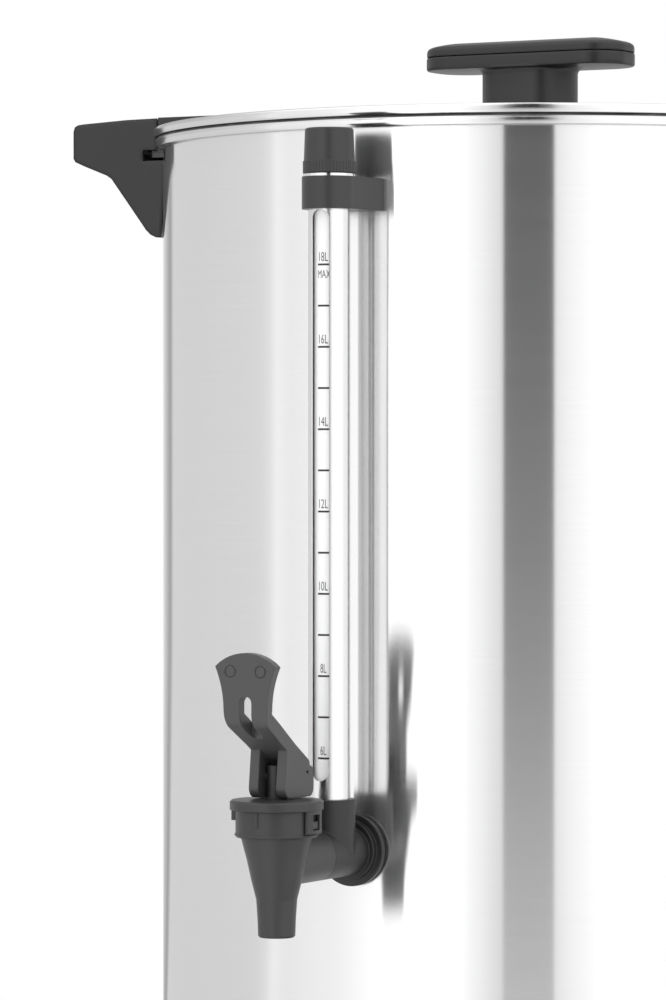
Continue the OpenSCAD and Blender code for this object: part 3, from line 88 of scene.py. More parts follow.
# Floor: radii from the urn's axis, and how bright it is in shiny faces
FLOOR_R = 4.0
FLOOR_POINTS = 96
FLOOR_ROUGHNESS = 0.85
FLOOR_GREYS = (0.86, 0.9)
FLOOR_SHADOW_R = 0.3
FLOOR_CLEAR_R = 0.62
# Painted shadow: in shiny faces the floor is dimmed near the urn, between these radii
FLOOR_NEAR_LEVEL = 0.45
FLOOR_NEAR_RADII = (0.2, 0.42)
FLOOR_DIM = 0.96
FLOOR_DIM_R = 1.0
GAP_FLOOR_START = 0.9
GAP_FLOOR_NEAR = 0.755
GAP_FLOOR_FAR = 0.287
# Half the shell's radius in front of the axis: the line where the shell's mirror images stand
MIRROR_LINE = 0.076

# Rolled rims: the lid's edge hangs a little over the vessel's bead
LID_RIM_R = 155.2 * MM
LID_RIM_LOW_Z = 436.35 * MM
LID_RIM_TOP_Z = 440.0 * MM
BEAD_R = 154.3 * MM
BEAD_LOW_Z = 431.95 * MM
BEAD_TOP_Z = 435.5 * MM
RIM_HALF_W = 0.75 * MM
RIM_POINTS = 20
RIM_STEPS = 192

# Finishes. A core is the share of a line's half width in which the line is full.
NOISE_MIDDLE = (0.3, 0.7)
BRUSHED_METAL = 0.94
BAND_SHARE = 0.06
QUARTER_TURN = 0.25
WELD_HALF_W = 0.7 * MM
WELD_CORE = 0.3
WELD_WANDER = 0.15 * MM
WELD_WANDER_SCALE = 60
WELD_SHADE = 0.72
WELD_ROUGHER = 0.18
# Painted shade: a dark line painted on the vessel's bead in the seam under the lid's edge, where that
# edge shades it
SEAM_Z = (LID_RIM_LOW_Z + BEAD_TOP_Z) / 2
SEAM_HALF_H = 0.8 * MM
SEAM_CORE = 0.7
SEAM_PATCH_SCALE = 80
SEAM_PATCHES = (0.85, 1.0)
SEAM_SHADE_GREY = 0.08
SEAM_ROUGHER = 0.4
SHIELD_SKIN = 0.1 * MM
# Painted light: the gauge shield's inside is painted pale and less metallic, lighter than its shade
# would leave it
SHIELD_INSIDE_PAINTED_LIGHT = 0.95
SHIELD_INSIDE_PAINTED_METALLIC = 0.2
# Cosine of the bend at an edge, where wear starts and where it is full
WEAR_BENDS = (0.98, 0.8)
WEAR_NOISE = (0.35, 0.6)
WEAR_PATCHES = (0.35, 1.0)
WEAR_SAMPLES = 6
DUST_TILTS = (0.3, 1.0)
DUST_NOISE = (0.35, 0.75)
DUST_PATCHES = (0.1, 1.0)
DUST_GREY = 0.35
ROUNDING_SAMPLES = 8
CLEAR_ROUGHNESS = (0.12, 0.2)
INK_ROUGHNESS = (0.4, 0.55)

# Lid knob
KNOB_HALF_LEN = 45.05 * MM
KNOB_HALF_W = 17.25 * MM
KNOB_CORNER_R = 14.5 * MM
KNOB_CORNER_CUTS = 16
KNOB_EDGE_R = 1.0 * MM
KNOB_EDGE_CUTS = 5
KNOB_EDGE_ANGLE = 50
KNOB_FOOT_Z = 447.9 * MM
KNOB_PLATE_Z = 465.3 * MM
KNOB_SEAM_Z = 470.9 * MM
KNOB_SEAM_GAP = 0.12 * MM
KNOB_CAP_INSET = 0.15 * MM
KNOB_CAP_SIDE_Z = 472.8 * MM
KNOB_CAP_SMOOTH = 60
KNOB_BASE_SMOOTH = 35
KNOB_STEM_R = 15.1 * MM
KNOB_STEM_HALF = 5.2 * MM
KNOB_STEM_MIDDLE = 0.1 * MM
KNOB_STEM_TUCK = 0.5 * MM
KNOB_STEM_POINTS = 80
KNOB_FLARE_R = 2.6 * MM
KNOB_FLARE_STEPS = 6
KNOB_FOOT_FLARE = 0.5 * MM
# Foot of the stem, in millimetres: how far out of the stem, and how high over the foot
KNOB_FOOT_STEPS = [(0.15, 0.7), (0.0, 1.8)]
# Crown of the cap, in millimetres: how much further in each step goes, and how much it rises
KNOB_CROWN_STEPS = [
    (0.12, 0.6), (0.25, 0.55), (0.45, 0.5), (0.8, 0.45), (1.3, 0.42), (2.0, 0.45),
    (2.6, 0.5), (3.0, 0.45), (2.4, 0.25), (0.9, 0.04)
]

# Printed scale on the gauge's clear tube
INK_PROUD = 0.06 * MM
SCALE_R = (tube_high.x - tube_low.x) / 2 + INK_PROUD
SCALE_Y = (tube_high.y + tube_low.y) / 2
SCALE_TOP_Z = 378.4 * MM
LITRE_H = 15.67 * MM
TOP_LITRE = 18
LOW_LITRE = 6
LABEL_EVERY = 2
TICK_TURN = 8.2
TICK_HALF_TURN = 26.4
TICK_H = 0.72 * MM
TICK_CUTS = 12
LABEL_TURN = 6.0
LABEL_H = 3.5 * MM
LABEL_GAP = 0.9 * MM
LABEL_W = 1.22 * MM
LABEL_CUTS = 2
MAX_H = 3.1 * MM
MAX_W = 1.68 * MM
MAX_GAP = 1.7 * MM
# Shares of the text's size: the height of a capital, and what the scale's strokes gain in width
CAPITAL_SHARE = 0.7
LABEL_STROKE = -0.006
TEXT_CURVE_CUTS = 4

# Markings of the control panel
PANEL_FACE_Y = -163.0 * MM
PANEL_MID_Z = 38.0 * MM
DIAL_NUMBER_R = 23.3 * MM
DIAL_NUMBER_H = 2.5 * MM
DIAL_STEP = 45.0
DIAL_NUMBERS = 7
POINTER_FACE_Y = -178.6 * MM
POINTER_W = 1.3 * MM
POINTER_LOW = 7.5 * MM
POINTER_HIGH = 16.2 * MM
POINTER_CORNER_R = POINTER_W * 0.45
POINTER_CUTS = 4
ROCKER_X = 44.0 * MM
MARK_H = 3.4 * MM
ON_MARK_Z = 42.5 * MM
ON_MARK_Y = -166.03 * MM
ON_MARK_TILT = 16.0
OFF_MARK_Z = 31.6 * MM
OFF_MARK_Y = -164.5 * MM


# Scene helpers

def deselect():
    for item in bpy.context.selected_objects:
        item.select_set(False)


def select_only(item):
    deselect()
    item.select_set(True)
    bpy.context.view_layer.objects.active = item


def edit_all(item):
    """Opens a piece in edit mode with all of it selected."""
    select_only(item)
    bpy.ops.object.mode_set(mode="EDIT")
    bpy.ops.mesh.select_all(action="SELECT")


def close_mesh():
    """Merges doubled points, turns the faces outwards and leaves edit mode."""
    bpy.ops.mesh.select_all(action="SELECT")
    bpy.ops.mesh.remove_doubles(threshold=MERGE_GAP)
    bpy.ops.mesh.normals_make_consistent(inside=False)
    bpy.ops.object.mode_set(mode="OBJECT")


def smooth_by_angle(item, degrees):
    select_only(item)
    bpy.ops.object.shade_smooth_by_angle(angle=math.radians(degrees))


def finish_piece(item, name, material, body):
    item.name = name
    item.data.name = name
    item.data.materials.clear()
    item.data.materials.append(material)
    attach(item, body)


# Node helpers: a value is a number or a node's output

def link(tree, source, target):
    if isinstance(source, bpy.types.NodeSocket):
        tree.links.new(source, target)
    else:
        target.default_value = source


def maths(tree, operation, *values):
    node = tree.nodes.new("ShaderNodeMath")
    node.operation = operation
    for value, socket in zip(values, node.inputs):
        link(tree, value, socket)
    return node.outputs[0]


def plus(tree, first, second):
    return maths(tree, "ADD", first, second)


def minus(tree, first, second):
    return maths(tree, "SUBTRACT", first, second)


def times(tree, first, second):
    return maths(tree, "MULTIPLY", first, second)


def remap(tree, value, low, high, to_low, to_high, smooth=False):
    node = tree.nodes.new("ShaderNodeMapRange")
    node.interpolation_type = "SMOOTHSTEP" if smooth else "LINEAR"
    for source, socket in zip((value, low, high, to_low, to_high), node.inputs):
        link(tree, source, socket)
    return node.outputs[0]


def vary(tree, noise_value, low, high):
    """Spreads the middle of a noise over a range."""
    return remap(tree, noise_value, *NOISE_MIDDLE, low, high)


def mix_colour(tree, factor, first, second):
    node = tree.nodes.new("ShaderNodeMix")
    node.data_type = "RGBA"
    link(tree, factor, node.inputs[0])
    link(tree, first, node.inputs[6])
    link(tree, second, node.inputs[7])
    return node.outputs[2]


def grey(level):
    return (level, level, level, 1.0)


def shade(base, share=1.0, lift=0.0):
    """A colour made darker or lighter."""
    return tuple(min(1.0, share * level + lift) for level in base) + (1.0,)


def object_place(tree, scale=1.0):
    place = tree.nodes.new("ShaderNodeTexCoord")
    mapping = tree.nodes.new("ShaderNodeMapping")
    mapping.inputs["Scale"].default_value = (scale, scale, scale)
    tree.links.new(place.outputs["Object"], mapping.inputs["Vector"])
    return mapping.outputs["Vector"]


def split_axes(tree, vector):
    split = tree.nodes.new("ShaderNodeSeparateXYZ")
    tree.links.new(vector, split.inputs[0])
    return split.outputs


def distance_from_axis(tree, x, y):
    return maths(tree, "SQRT", plus(tree, times(tree, x, x), times(tree, y, y)))


def noise(tree, place, scale=1.0, detail=2.0, roughness=0.5):
    node = tree.nodes.new("ShaderNodeTexNoise")
    link(tree, place, node.inputs["Vector"])
    link(tree, scale, node.inputs["Scale"])
    node.inputs["Detail"].default_value = detail
    node.inputs["Roughness"].default_value = roughness
    return node.outputs["Fac"]


def new_group(name, inputs, outputs):
    group = bpy.data.node_groups.new(name, "ShaderNodeTree")
    for label, value in inputs:
        socket = group.interface.new_socket(label, in_out="INPUT", socket_type="NodeSocketFloat")
        socket.default_value = value
    for label in outputs:
        group.interface.new_socket(label, in_out="OUTPUT", socket_type="NodeSocketFloat")
    return group, group.nodes.new("NodeGroupInput"), group.nodes.new("NodeGroupOutput")


def place_group(tree, group, **values):
    """Places a shared effect. An underscore in a value's name stands for a space."""
    node = tree.nodes.new("ShaderNodeGroup")
    node.node_tree = group
    for label, value in values.items():
        link(tree, value, node.inputs[label.replace("_", " ")])
    return node.outputs


# Shared effects

def make_moulded_grain():
    """Fine stipple of a moulded surface, and slow waves in its gloss."""
    group, start, end = new_group(
        "moulded_grain", [("Stipple", 1400.0), ("Waves", 22.0)], ["Stipple", "Waves"]
    )
    place = object_place(group)
    fine = noise(group, place, start.outputs["Stipple"], detail=2.0, roughness=0.6)
    slow = noise(group, place, start.outputs["Waves"], detail=3.0, roughness=0.5)
    group.links.new(fine, end.inputs["Stipple"])
    group.links.new(slow, end.inputs["Waves"])
    return group


def make_brush_lines():
    """Lines brushed round the axis: long round the body, fine up the wall and out over the lid."""
    group, start, end = new_group(
        "brush_lines", [("Length scale", 30.0), ("Height scale", 3400.0)], ["Lines", "Bands"]
    )
    x, y, z = split_axes(group, object_place(group))
    outward = minus(group, z, distance_from_axis(group, x, y))
    for output, share in (("Lines", 1.0), ("Bands", BAND_SHARE)):
        join = group.nodes.new("ShaderNodeCombineXYZ")
        across = times(group, start.outputs["Height scale"], share)
        group.links.new(times(group, x, start.outputs["Length scale"]), join.inputs[0])
        group.links.new(times(group, y, start.outputs["Length scale"]), join.inputs[1])
        group.links.new(times(group, outward, across), join.inputs[2])
        group.links.new(noise(group, join.outputs[0], detail=1.0), end.inputs[output])
    return group


def make_weld_line():
    """Mask of the upright weld at the back of a rolled sheet."""
    group, start, end = new_group("weld_line", [("Half width", WELD_HALF_W)], ["Mask"])
    axes = split_axes(group, object_place(group))
    wander = noise(group, object_place(group, WELD_WANDER_SCALE))
    wander = vary(group, wander, -WELD_WANDER, WELD_WANDER)
    side = maths(group, "ABSOLUTE", plus(group, axes["X"], wander))
    half = start.outputs["Half width"]
    near = remap(group, side, half, times(group, half, WELD_CORE), 0.0, 1.0, smooth=True)
    behind = maths(group, "GREATER_THAN", axes["Y"], 0.0)
    group.links.new(times(group, near, behind), end.inputs["Mask"])
    return group


def make_edge_wear():
    """Mask of edges, broken up by noise. It is 0 on flat faces."""
    group, start, end = new_group("edge_wear", [("Width", 0.6 * MM), ("Break up", 260.0)], ["Mask"])
    rounded = group.nodes.new("ShaderNodeBevel")
    rounded.samples = WEAR_SAMPLES
    group.links.new(start.outputs["Width"], rounded.inputs["Radius"])
    geometry = group.nodes.new("ShaderNodeNewGeometry")
    dot = group.nodes.new("ShaderNodeVectorMath")
    dot.operation = "DOT_PRODUCT"
    group.links.new(rounded.outputs["Normal"], dot.inputs[0])
    group.links.new(geometry.outputs["Normal"], dot.inputs[1])
    edge = remap(group, dot.outputs["Value"], *WEAR_BENDS, 0.0, 1.0, smooth=True)
    broken = noise(group, object_place(group), start.outputs["Break up"], detail=3.0)
    patch = remap(group, broken, *WEAR_NOISE, *WEAR_PATCHES)
    group.links.new(times(group, edge, patch), end.inputs["Mask"])
    return group


def make_dust():
    """Mask of light dust that settles on faces that look up."""
    group, start, end = new_group("dust", [("Patch scale", 30.0)], ["Mask"])
    geometry = group.nodes.new("ShaderNodeNewGeometry")
    facing = split_axes(group, geometry.outputs["Normal"])
    up = remap(group, facing["Z"], *DUST_TILTS, 0.0, 1.0, smooth=True)
    settled = noise(group, object_place(group), start.outputs["Patch scale"], detail=4.0)
    patch = remap(group, settled, *DUST_NOISE, *DUST_PATCHES)
    group.links.new(times(group, up, patch), end.inputs["Mask"])
    return group


def make_seam_painted_shade():
    """Mask of a painted shade: the dark line in the seam under the lid's edge, where that edge shades
    the bead.
    """
    group, start, end = new_group(
        "seam_painted_shade", [("Height", SEAM_Z), ("Half height", SEAM_HALF_H)], ["Mask"]
    )
    height = split_axes(group, object_place(group))["Z"]
    away = maths(group, "ABSOLUTE", minus(group, height, start.outputs["Height"]))
    half = start.outputs["Half height"]
    near = remap(group, away, half, times(group, half, SEAM_CORE), 0.0, 1.0, smooth=True)
    patch = vary(group, noise(group, object_place(group, SEAM_PATCH_SCALE)), *SEAM_PATCHES)
    group.links.new(times(group, near, patch), end.inputs["Mask"])
    return group


def make_tube_inside():
    """Mask of the inner wall of an upright tube at X = 0."""
    group, start, end = new_group("tube_inside", [("Middle Y", -0.17), ("Radius", 0.01)], ["Mask"])
    axes = split_axes(group, object_place(group))
    back = minus(group, axes["Y"], start.outputs["Middle Y"])
    away = distance_from_axis(group, axes["X"], back)
    group.links.new(maths(group, "LESS_THAN", away, start.outputs["Radius"]), end.inputs["Mask"])
    return group


grain_group = make_moulded_grain()
brush_group = make_brush_lines()
weld_group = make_weld_line()
wear_group = make_edge_wear()
dust_group = make_dust()
seam_shade_group = make_seam_painted_shade()
inside_group = make_tube_inside()


# Materials

def new_material(name):
    material = bpy.data.materials.new(name)
    material.use_nodes = True
    tree = material.node_tree
    return material, tree, tree.nodes["Principled BSDF"]


def set_finish(tree, shader, tint, rough):
    tree.links.new(tint, shader.inputs["Base Color"])
    tree.links.new(rough, shader.inputs["Roughness"])


def uneven_tint(tree, pattern, base, darkest, lightest=1.0):
    """A colour that follows a pattern, between two shares of itself."""
    return mix_colour(tree, pattern, shade(base, darkest), shade(base, lightest))


def uneven_gloss(tree, pattern, roughness, smoothest, roughest):
    """A roughness that follows a pattern, between two shares of itself."""
    return vary(tree, pattern, roughness * smoothest, roughness * roughest)


def bump(tree, shader, height, strength, distance, rounding=0.0):
    """Relief from a height, over edges softened by a small rounding."""
    node = tree.nodes.new("ShaderNodeBump")
    node.inputs["Strength"].default_value = strength
    node.inputs["Distance"].default_value = distance
    tree.links.new(height, node.inputs["Height"])
    if rounding > 0:
        soft = tree.nodes.new("ShaderNodeBevel")
        soft.samples = ROUNDING_SAMPLES
        soft.inputs["Radius"].default_value = rounding
        tree.links.new(soft.outputs["Normal"], node.inputs["Normal"])
    tree.links.new(node.outputs["Normal"], shader.inputs["Normal"])


def draw_gloss_out(tree, shader, along):
    """Draws the gloss out across lines that run round the axis."""
    shader.inputs["Anisotropic"].default_value = along
    shader.inputs["Anisotropic Rotation"].default_value = QUARTER_TURN
    tangent = tree.nodes.new("ShaderNodeTangent")
    tangent.direction_type = "RADIAL"
    tangent.axis = "Z"
    tree.links.new(tangent.outputs["Tangent"], shader.inputs["Tangent"])


def brushed_steel(name, base, roughness, along, contrast, line_scale, welded=False, seam_shaded=False):
    """Sheet steel brushed round the body, which leaves a little haze over its mirror."""
    material, tree, shader = new_material(name)
    shader.inputs["Metallic"].default_value = BRUSHED_METAL
    draw_gloss_out(tree, shader, along)
    lines = place_group(tree, brush_group, Length_scale=line_scale[0], Height_scale=line_scale[1])
    tint = mix_colour(tree, vary(tree, lines["Lines"], 1.0 - contrast, 1.0), grey(0.0), shade(base))
    rough = uneven_gloss(tree, lines["Bands"], roughness, smoothest=0.96, roughest=1.04)
    if welded:
        weld = place_group(tree, weld_group)["Mask"]
        tint = mix_colour(tree, weld, tint, shade(base, WELD_SHADE))
        rough = plus(tree, rough, times(tree, weld, WELD_ROUGHER))
    # Painted shade in the seam under the lid's edge
    if seam_shaded:
        seam = place_group(tree, seam_shade_group)["Mask"]
        tint = mix_colour(tree, seam, tint, grey(SEAM_SHADE_GREY))
        rough = plus(tree, rough, times(tree, seam, SEAM_ROUGHER))
    set_finish(tree, shader, tint, rough)
    bump(tree, shader, lines["Lines"], strength=0.02, distance=0.01 * MM)
    return material


def polished_steel(name, base, roughness, painted_light_wall=None):
    """Bright steel. Given a tube's middle Y and radius, the tube's inside is painted pale and less
    metallic: painted light where shade falls.
    """
    material, tree, shader = new_material(name)
    shader.inputs["Metallic"].default_value = 1.0
    grain = place_group(tree, grain_group, Stipple=500.0, Waves=35.0)
    tint = uneven_tint(tree, grain["Waves"], base, darkest=0.95, lightest=1.03)
    # Painted light on the tube's inside, in place of its shade
    if painted_light_wall:
        middle_y, radius = painted_light_wall
        inside = place_group(tree, inside_group, Middle_Y=middle_y, Radius=radius)["Mask"]
        tint = mix_colour(tree, inside, tint, grey(SHIELD_INSIDE_PAINTED_LIGHT))
        tree.links.new(remap(tree, inside, 0.0, 1.0, 1.0, SHIELD_INSIDE_PAINTED_METALLIC), shader.inputs["Metallic"])
    rough = uneven_gloss(tree, grain["Stipple"], roughness, smoothest=0.9, roughest=1.12)
    set_finish(tree, shader, tint, rough)
    return material


def moulded_plastic(name, base, roughness, stipple, worn, dusty=0.0, relief=0.1, rounding=0.8 * MM):
    """Satin moulding: fine stipple, uneven gloss, and edges rubbed a little lighter."""
    material, tree, shader = new_material(name)
    grain = place_group(tree, grain_group, Stipple=stipple, Waves=24.0)
    wear = place_group(tree, wear_group, Width=0.5 * MM, Break_up=300.0)["Mask"]
    dust = place_group(tree, dust_group, Patch_scale=40.0)["Mask"]
    tint = uneven_tint(tree, grain["Waves"], base, darkest=0.88)
    tint = mix_colour(tree, times(tree, wear, worn), tint, shade(base, share=1.6, lift=0.02))
    tint = mix_colour(tree, times(tree, dust, dusty), tint, grey(DUST_GREY))
    rough = uneven_gloss(tree, grain["Waves"], roughness, smoothest=0.92, roughest=1.1)
    set_finish(tree, shader, tint, rough)
    bump(tree, shader, grain["Stipple"], strength=relief, distance=0.1 * MM, rounding=rounding)
    return material


def plain_metal(name, base, roughness, stipple=700.0):
    """Plain or plated metal with edges painted brighter: partly wear, partly a painted highlight."""
    material, tree, shader = new_material(name)
    shader.inputs["Metallic"].default_value = 1.0
    grain = place_group(tree, grain_group, Stipple=stipple, Waves=60.0)
    wear = place_group(tree, wear_group, Width=0.4 * MM, Break_up=400.0)["Mask"]
    tint = uneven_tint(tree, grain["Waves"], base, darkest=0.85)
    # Edges lifted brighter: partly wear, partly a painted highlight along them
    tint = mix_colour(tree, wear, tint, shade(base, share=1.2))
    rough = uneven_gloss(tree, grain["Stipple"], roughness, smoothest=0.8, roughest=1.2)
    set_finish(tree, shader, tint, rough)
    bump(tree, shader, grain["Stipple"], strength=0.08, distance=0.05 * MM, rounding=0.4 * MM)
    return material


def clear_tube(name):
    """Plastic tube gone milky with hot water: a pale body that hardly lets light through."""
    material, tree, shader = new_material(name)
    shader.inputs["Transmission Weight"].default_value = 0.02
    shader.inputs["IOR"].default_value = 1.45
    grain = place_group(tree, grain_group, Stipple=220.0, Waves=60.0)
    tint = mix_colour(tree, grain["Waves"], shade((0.985, 0.99, 0.99)), grey(1.0))
    set_finish(tree, shader, tint, vary(tree, grain["Stipple"], *CLEAR_ROUGHNESS))
    return material


def lamp_glass(name, base):
    """Tinted cover of a lamp, a little see-through and glossy."""
    material, tree, shader = new_material(name)
    shader.inputs["Transmission Weight"].default_value = 0.25
    shader.inputs["Coat Weight"].default_value = 0.4
    grain = place_group(tree, grain_group, Stipple=900.0, Waves=120.0)
    tint = uneven_tint(tree, grain["Waves"], base, darkest=0.7)
    set_finish(tree, shader, tint, vary(tree, grain["Stipple"], *CLEAR_ROUGHNESS))
    return material


def print_ink(name, base):
    """Screen-printed ink, slightly uneven in cover."""
    material, tree, shader = new_material(name)
    grain = place_group(tree, grain_group, Stipple=2600.0, Waves=300.0)
    tint = uneven_tint(tree, grain["Stipple"], base, darkest=0.8)
    set_finish(tree, shader, tint, vary(tree, grain["Waves"], *INK_ROUGHNESS))
    return material


finishes = {
    "brushed_shell": brushed_steel(
        "brushed_shell", (0.8, 0.8, 0.802), roughness=0.126, along=1.0, contrast=0.022,
        line_scale=(26.0, 4200.0), welded=True
    ),
    "vessel_steel": brushed_steel(
        "vessel_steel", (0.76, 0.76, 0.765), roughness=0.22, along=0.6, contrast=0.05,
        line_scale=(24.0, 1500.0), seam_shaded=True
    ),
    "polished_steel": polished_steel("polished_steel", (0.8, 0.8, 0.8), roughness=0.09),
    "plated_steel": plain_metal("plated_steel", (0.58, 0.58, 0.57), roughness=0.3),
    "black_plastic": moulded_plastic(
        "black_plastic", (0.017, 0.017, 0.0174), roughness=0.42, stipple=1400.0, worn=0.5, dusty=0.03
    ),
    "tap_plastic": moulded_plastic(
        "tap_plastic", (0.032, 0.032, 0.033), roughness=0.38, stipple=1800.0, worn=0.5, dusty=0.03
    ),
    "rubber": moulded_plastic(
        "rubber", (0.018, 0.018, 0.018), roughness=0.75, stipple=900.0, worn=0.2, dusty=0.05
    ),
    "silicone": moulded_plastic(
        "silicone", (0.78, 0.78, 0.75), roughness=0.5, stipple=800.0, worn=0.0
    ),
    "gauge_tube": clear_tube("gauge_tube"),
    "aluminium": plain_metal("aluminium", (0.78, 0.78, 0.79), roughness=0.35, stipple=500.0),
    "element_sheath": plain_metal("element_sheath", (0.3, 0.28, 0.26), roughness=0.45, stipple=900.0),
    "ceramic": moulded_plastic(
        "ceramic", (0.78, 0.74, 0.66), roughness=0.5, stipple=700.0, worn=0.1
    ),
    "lamp_lens": lamp_glass("lamp_lens", (0.55, 0.03, 0.02)),
}
knob_plastic = moulded_plastic(
    "knob_plastic", (0.011, 0.011, 0.0114), roughness=0.36, stipple=900.0, worn=0.4, dusty=0.02,
    relief=0.04, rounding=1.1 * MM
)
handle_plastic = moulded_plastic(
    "handle_plastic", (0.016, 0.016, 0.0164), roughness=0.42, stipple=1400.0, worn=0.5, dusty=0.03,
    rounding=3.0 * MM
)
# Painted light: the lever is the tap's plastic at twice its grey, for the light its paddle catches
lever_painted_light_plastic = moulded_plastic(
    "lever_painted_light_plastic", (0.064, 0.064, 0.065), roughness=0.42, stipple=1800.0, worn=0.5, dusty=0.03
)
shield_middle_y = (shield_low.y + shield_high.y) / 2
shield_inside_r = (shield_high.x - shield_low.x) / 2 - SHIELD_SKIN
shield_steel = polished_steel(
    "shield_steel", (0.82, 0.82, 0.82), roughness=0.24, painted_light_wall=(shield_middle_y, shield_inside_r)
)
rim_steel = polished_steel("rim_steel", (0.78, 0.78, 0.78), roughness=0.16)
dark_ink = print_ink("dark_ink", (0.03, 0.03, 0.03))
grey_ink = print_ink("grey_ink", (0.045, 0.045, 0.045))
white_ink = print_ink("white_ink", (0.82, 0.82, 0.8))

# Solids with a finish of their own. The others take the finish of their material slot.
node_finishes = {
    "handle_left": handle_plastic,
    "handle_right": handle_plastic,
    # Painted shade: the tap's elbow and the valve stem are given the darker black plastic, for the shade
    # they sit in
    "tap_elbow": finishes["black_plastic"],
    "valve_stem": finishes["black_plastic"],
    "lever": lever_painted_light_plastic,
    "knob_base": knob_plastic,
    "knob_cap": knob_plastic,
    "gauge_shield": shield_steel,
    "handle_brackets": plain_metal("dark_steel", (0.09, 0.09, 0.09), roughness=0.4),
}

for part in frame["record"]["subparts"]:
    slots = frame["nodes"][part["node"]].data.materials
    slots.clear()
    slots.append(node_finishes.get(part["node"], finishes[part["material_slot"]]))


# Rolled rims, spun round the axis

def spun_rim(name, radius, low_z, top_z, body):
    deselect()
    bpy.ops.mesh.primitive_circle_add(vertices=RIM_POINTS, radius=1, rotation=(math.pi / 2, 0, 0))
    item = bpy.context.object
    bpy.ops.object.transform_apply(location=True, rotation=True, scale=True)
    edit_all(item)
    bpy.ops.transform.resize(value=(RIM_HALF_W, 1, (top_z - low_z) / 2))
    bpy.ops.transform.translate(value=(radius, 0, (top_z + low_z) / 2))
    bpy.ops.mesh.spin(steps=RIM_STEPS, angle=2 * math.pi, center=(0, 0, 0), axis=(0, 0, 1))
    close_mesh()
    select_only(item)
    bpy.ops.object.shade_smooth()
    finish_piece(item, name, rim_steel, body)


spun_rim("lid_rolled_edge", LID_RIM_R, LID_RIM_LOW_Z, LID_RIM_TOP_Z, "lid")
spun_rim("vessel_rolled_bead", BEAD_R, BEAD_LOW_Z, BEAD_TOP_Z, "urn")


# Lid knob: a crowned cap over a rounded plate, on an oval stem that flares under the plate

def round_plate(half_len, half_w, corner_r, z):
    """Flat rounded plate, ready in edit mode with its face selected."""
    deselect()
    bpy.ops.mesh.primitive_plane_add(size=2, location=(0, 0, z))
    item = bpy.context.object
    item.scale = (half_len, half_w, 1)
    bpy.ops.object.transform_apply(location=True, rotation=True, scale=True)
    edit_all(item)
    bpy.ops.mesh.bevel(offset=corner_r, segments=KNOB_CORNER_CUTS, affect="VERTICES")
    bpy.ops.mesh.select_all(action="SELECT")
    return item


def extrude_up(rise):
    bpy.ops.mesh.extrude_region_move(TRANSFORM_OT_translate={"value": (0, 0, rise)})


def round_edges(item):
    rounding = item.modifiers.new("rounding", "BEVEL")
    rounding.width = KNOB_EDGE_R
    rounding.segments = KNOB_EDGE_CUTS
    rounding.limit_method = "ANGLE"
    rounding.angle_limit = math.radians(KNOB_EDGE_ANGLE)
    select_only(item)
    bpy.ops.object.modifier_apply(modifier=rounding.name)


def make_knob_cap():
    item = round_plate(
        KNOB_HALF_LEN - KNOB_CAP_INSET, KNOB_HALF_W - KNOB_CAP_INSET,
        KNOB_CORNER_R - KNOB_CAP_INSET, KNOB_SEAM_Z + KNOB_SEAM_GAP
    )
    extrude_up(KNOB_CAP_SIDE_Z - KNOB_SEAM_Z - KNOB_SEAM_GAP)
    for inset, rise in KNOB_CROWN_STEPS:
        bpy.ops.mesh.inset(thickness=inset * MM, depth=0)
        bpy.ops.transform.translate(value=(0, 0, rise * MM))
    close_mesh()
    smooth_by_angle(item, KNOB_CAP_SMOOTH)
    finish_piece(item, "lid_knob_cap", knob_plastic, "lid")
    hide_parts("knob_cap")


def stem_stops():
    """How far the stem reaches out of its straight part at each height, from its foot up."""
    stops = [(out * MM, KNOB_FOOT_Z + rise * MM) for out, rise in KNOB_FOOT_STEPS]
    stops.append((0.0, KNOB_PLATE_Z - KNOB_FLARE_R))
    for step in range(1, KNOB_FLARE_STEPS + 1):
        turn = step / KNOB_FLARE_STEPS * math.pi / 2
        stops.append((KNOB_FLARE_R * (1 - math.cos(turn)),
                      KNOB_PLATE_Z - KNOB_FLARE_R * (1 - math.sin(turn))))
    stops.append((KNOB_FLARE_R, KNOB_PLATE_Z + KNOB_STEM_TUCK))
    return stops


def make_knob_stem():
    """Oval stem: a round drawn out along X, with a small flare at its foot and a fuller one on top."""
    deselect()
    bpy.ops.mesh.primitive_circle_add(
        vertices=KNOB_STEM_POINTS, radius=KNOB_STEM_R + KNOB_FOOT_FLARE, fill_type="NGON",
        location=(0, 0, KNOB_FOOT_Z)
    )
    item = bpy.context.object
    bpy.ops.object.transform_apply(location=True, rotation=True, scale=True)
    for point in item.data.vertices:
        if abs(point.co.x) > KNOB_STEM_MIDDLE:
            point.co.x += math.copysign(KNOB_STEM_HALF, point.co.x)
    edit_all(item)
    reach, height = KNOB_FOOT_FLARE, KNOB_FOOT_Z
    for out, z in stem_stops():
        extrude_up(z - height)
        long_was, wide_was = KNOB_STEM_R + KNOB_STEM_HALF + reach, KNOB_STEM_R + reach
        long_now, wide_now = KNOB_STEM_R + KNOB_STEM_HALF + out, KNOB_STEM_R + out
        bpy.ops.transform.resize(value=(long_now / long_was, wide_now / wide_was, 1))
        reach, height = out, z
    close_mesh()
    return item


def make_knob_base():
    plate = round_plate(KNOB_HALF_LEN, KNOB_HALF_W, KNOB_CORNER_R, KNOB_PLATE_Z)
    extrude_up(KNOB_SEAM_Z - KNOB_PLATE_Z)
    close_mesh()
    round_edges(plate)
    stem = make_knob_stem()
    deselect()
    stem.select_set(True)
    plate.select_set(True)
    bpy.context.view_layer.objects.active = plate
    bpy.ops.object.join()
    smooth_by_angle(plate, KNOB_BASE_SMOOTH)
    finish_piece(plate, "lid_knob_base", knob_plastic, "lid")
    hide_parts("knob_base")


make_knob_cap()
make_knob_base()


# Printed scale on the gauge's clear tube

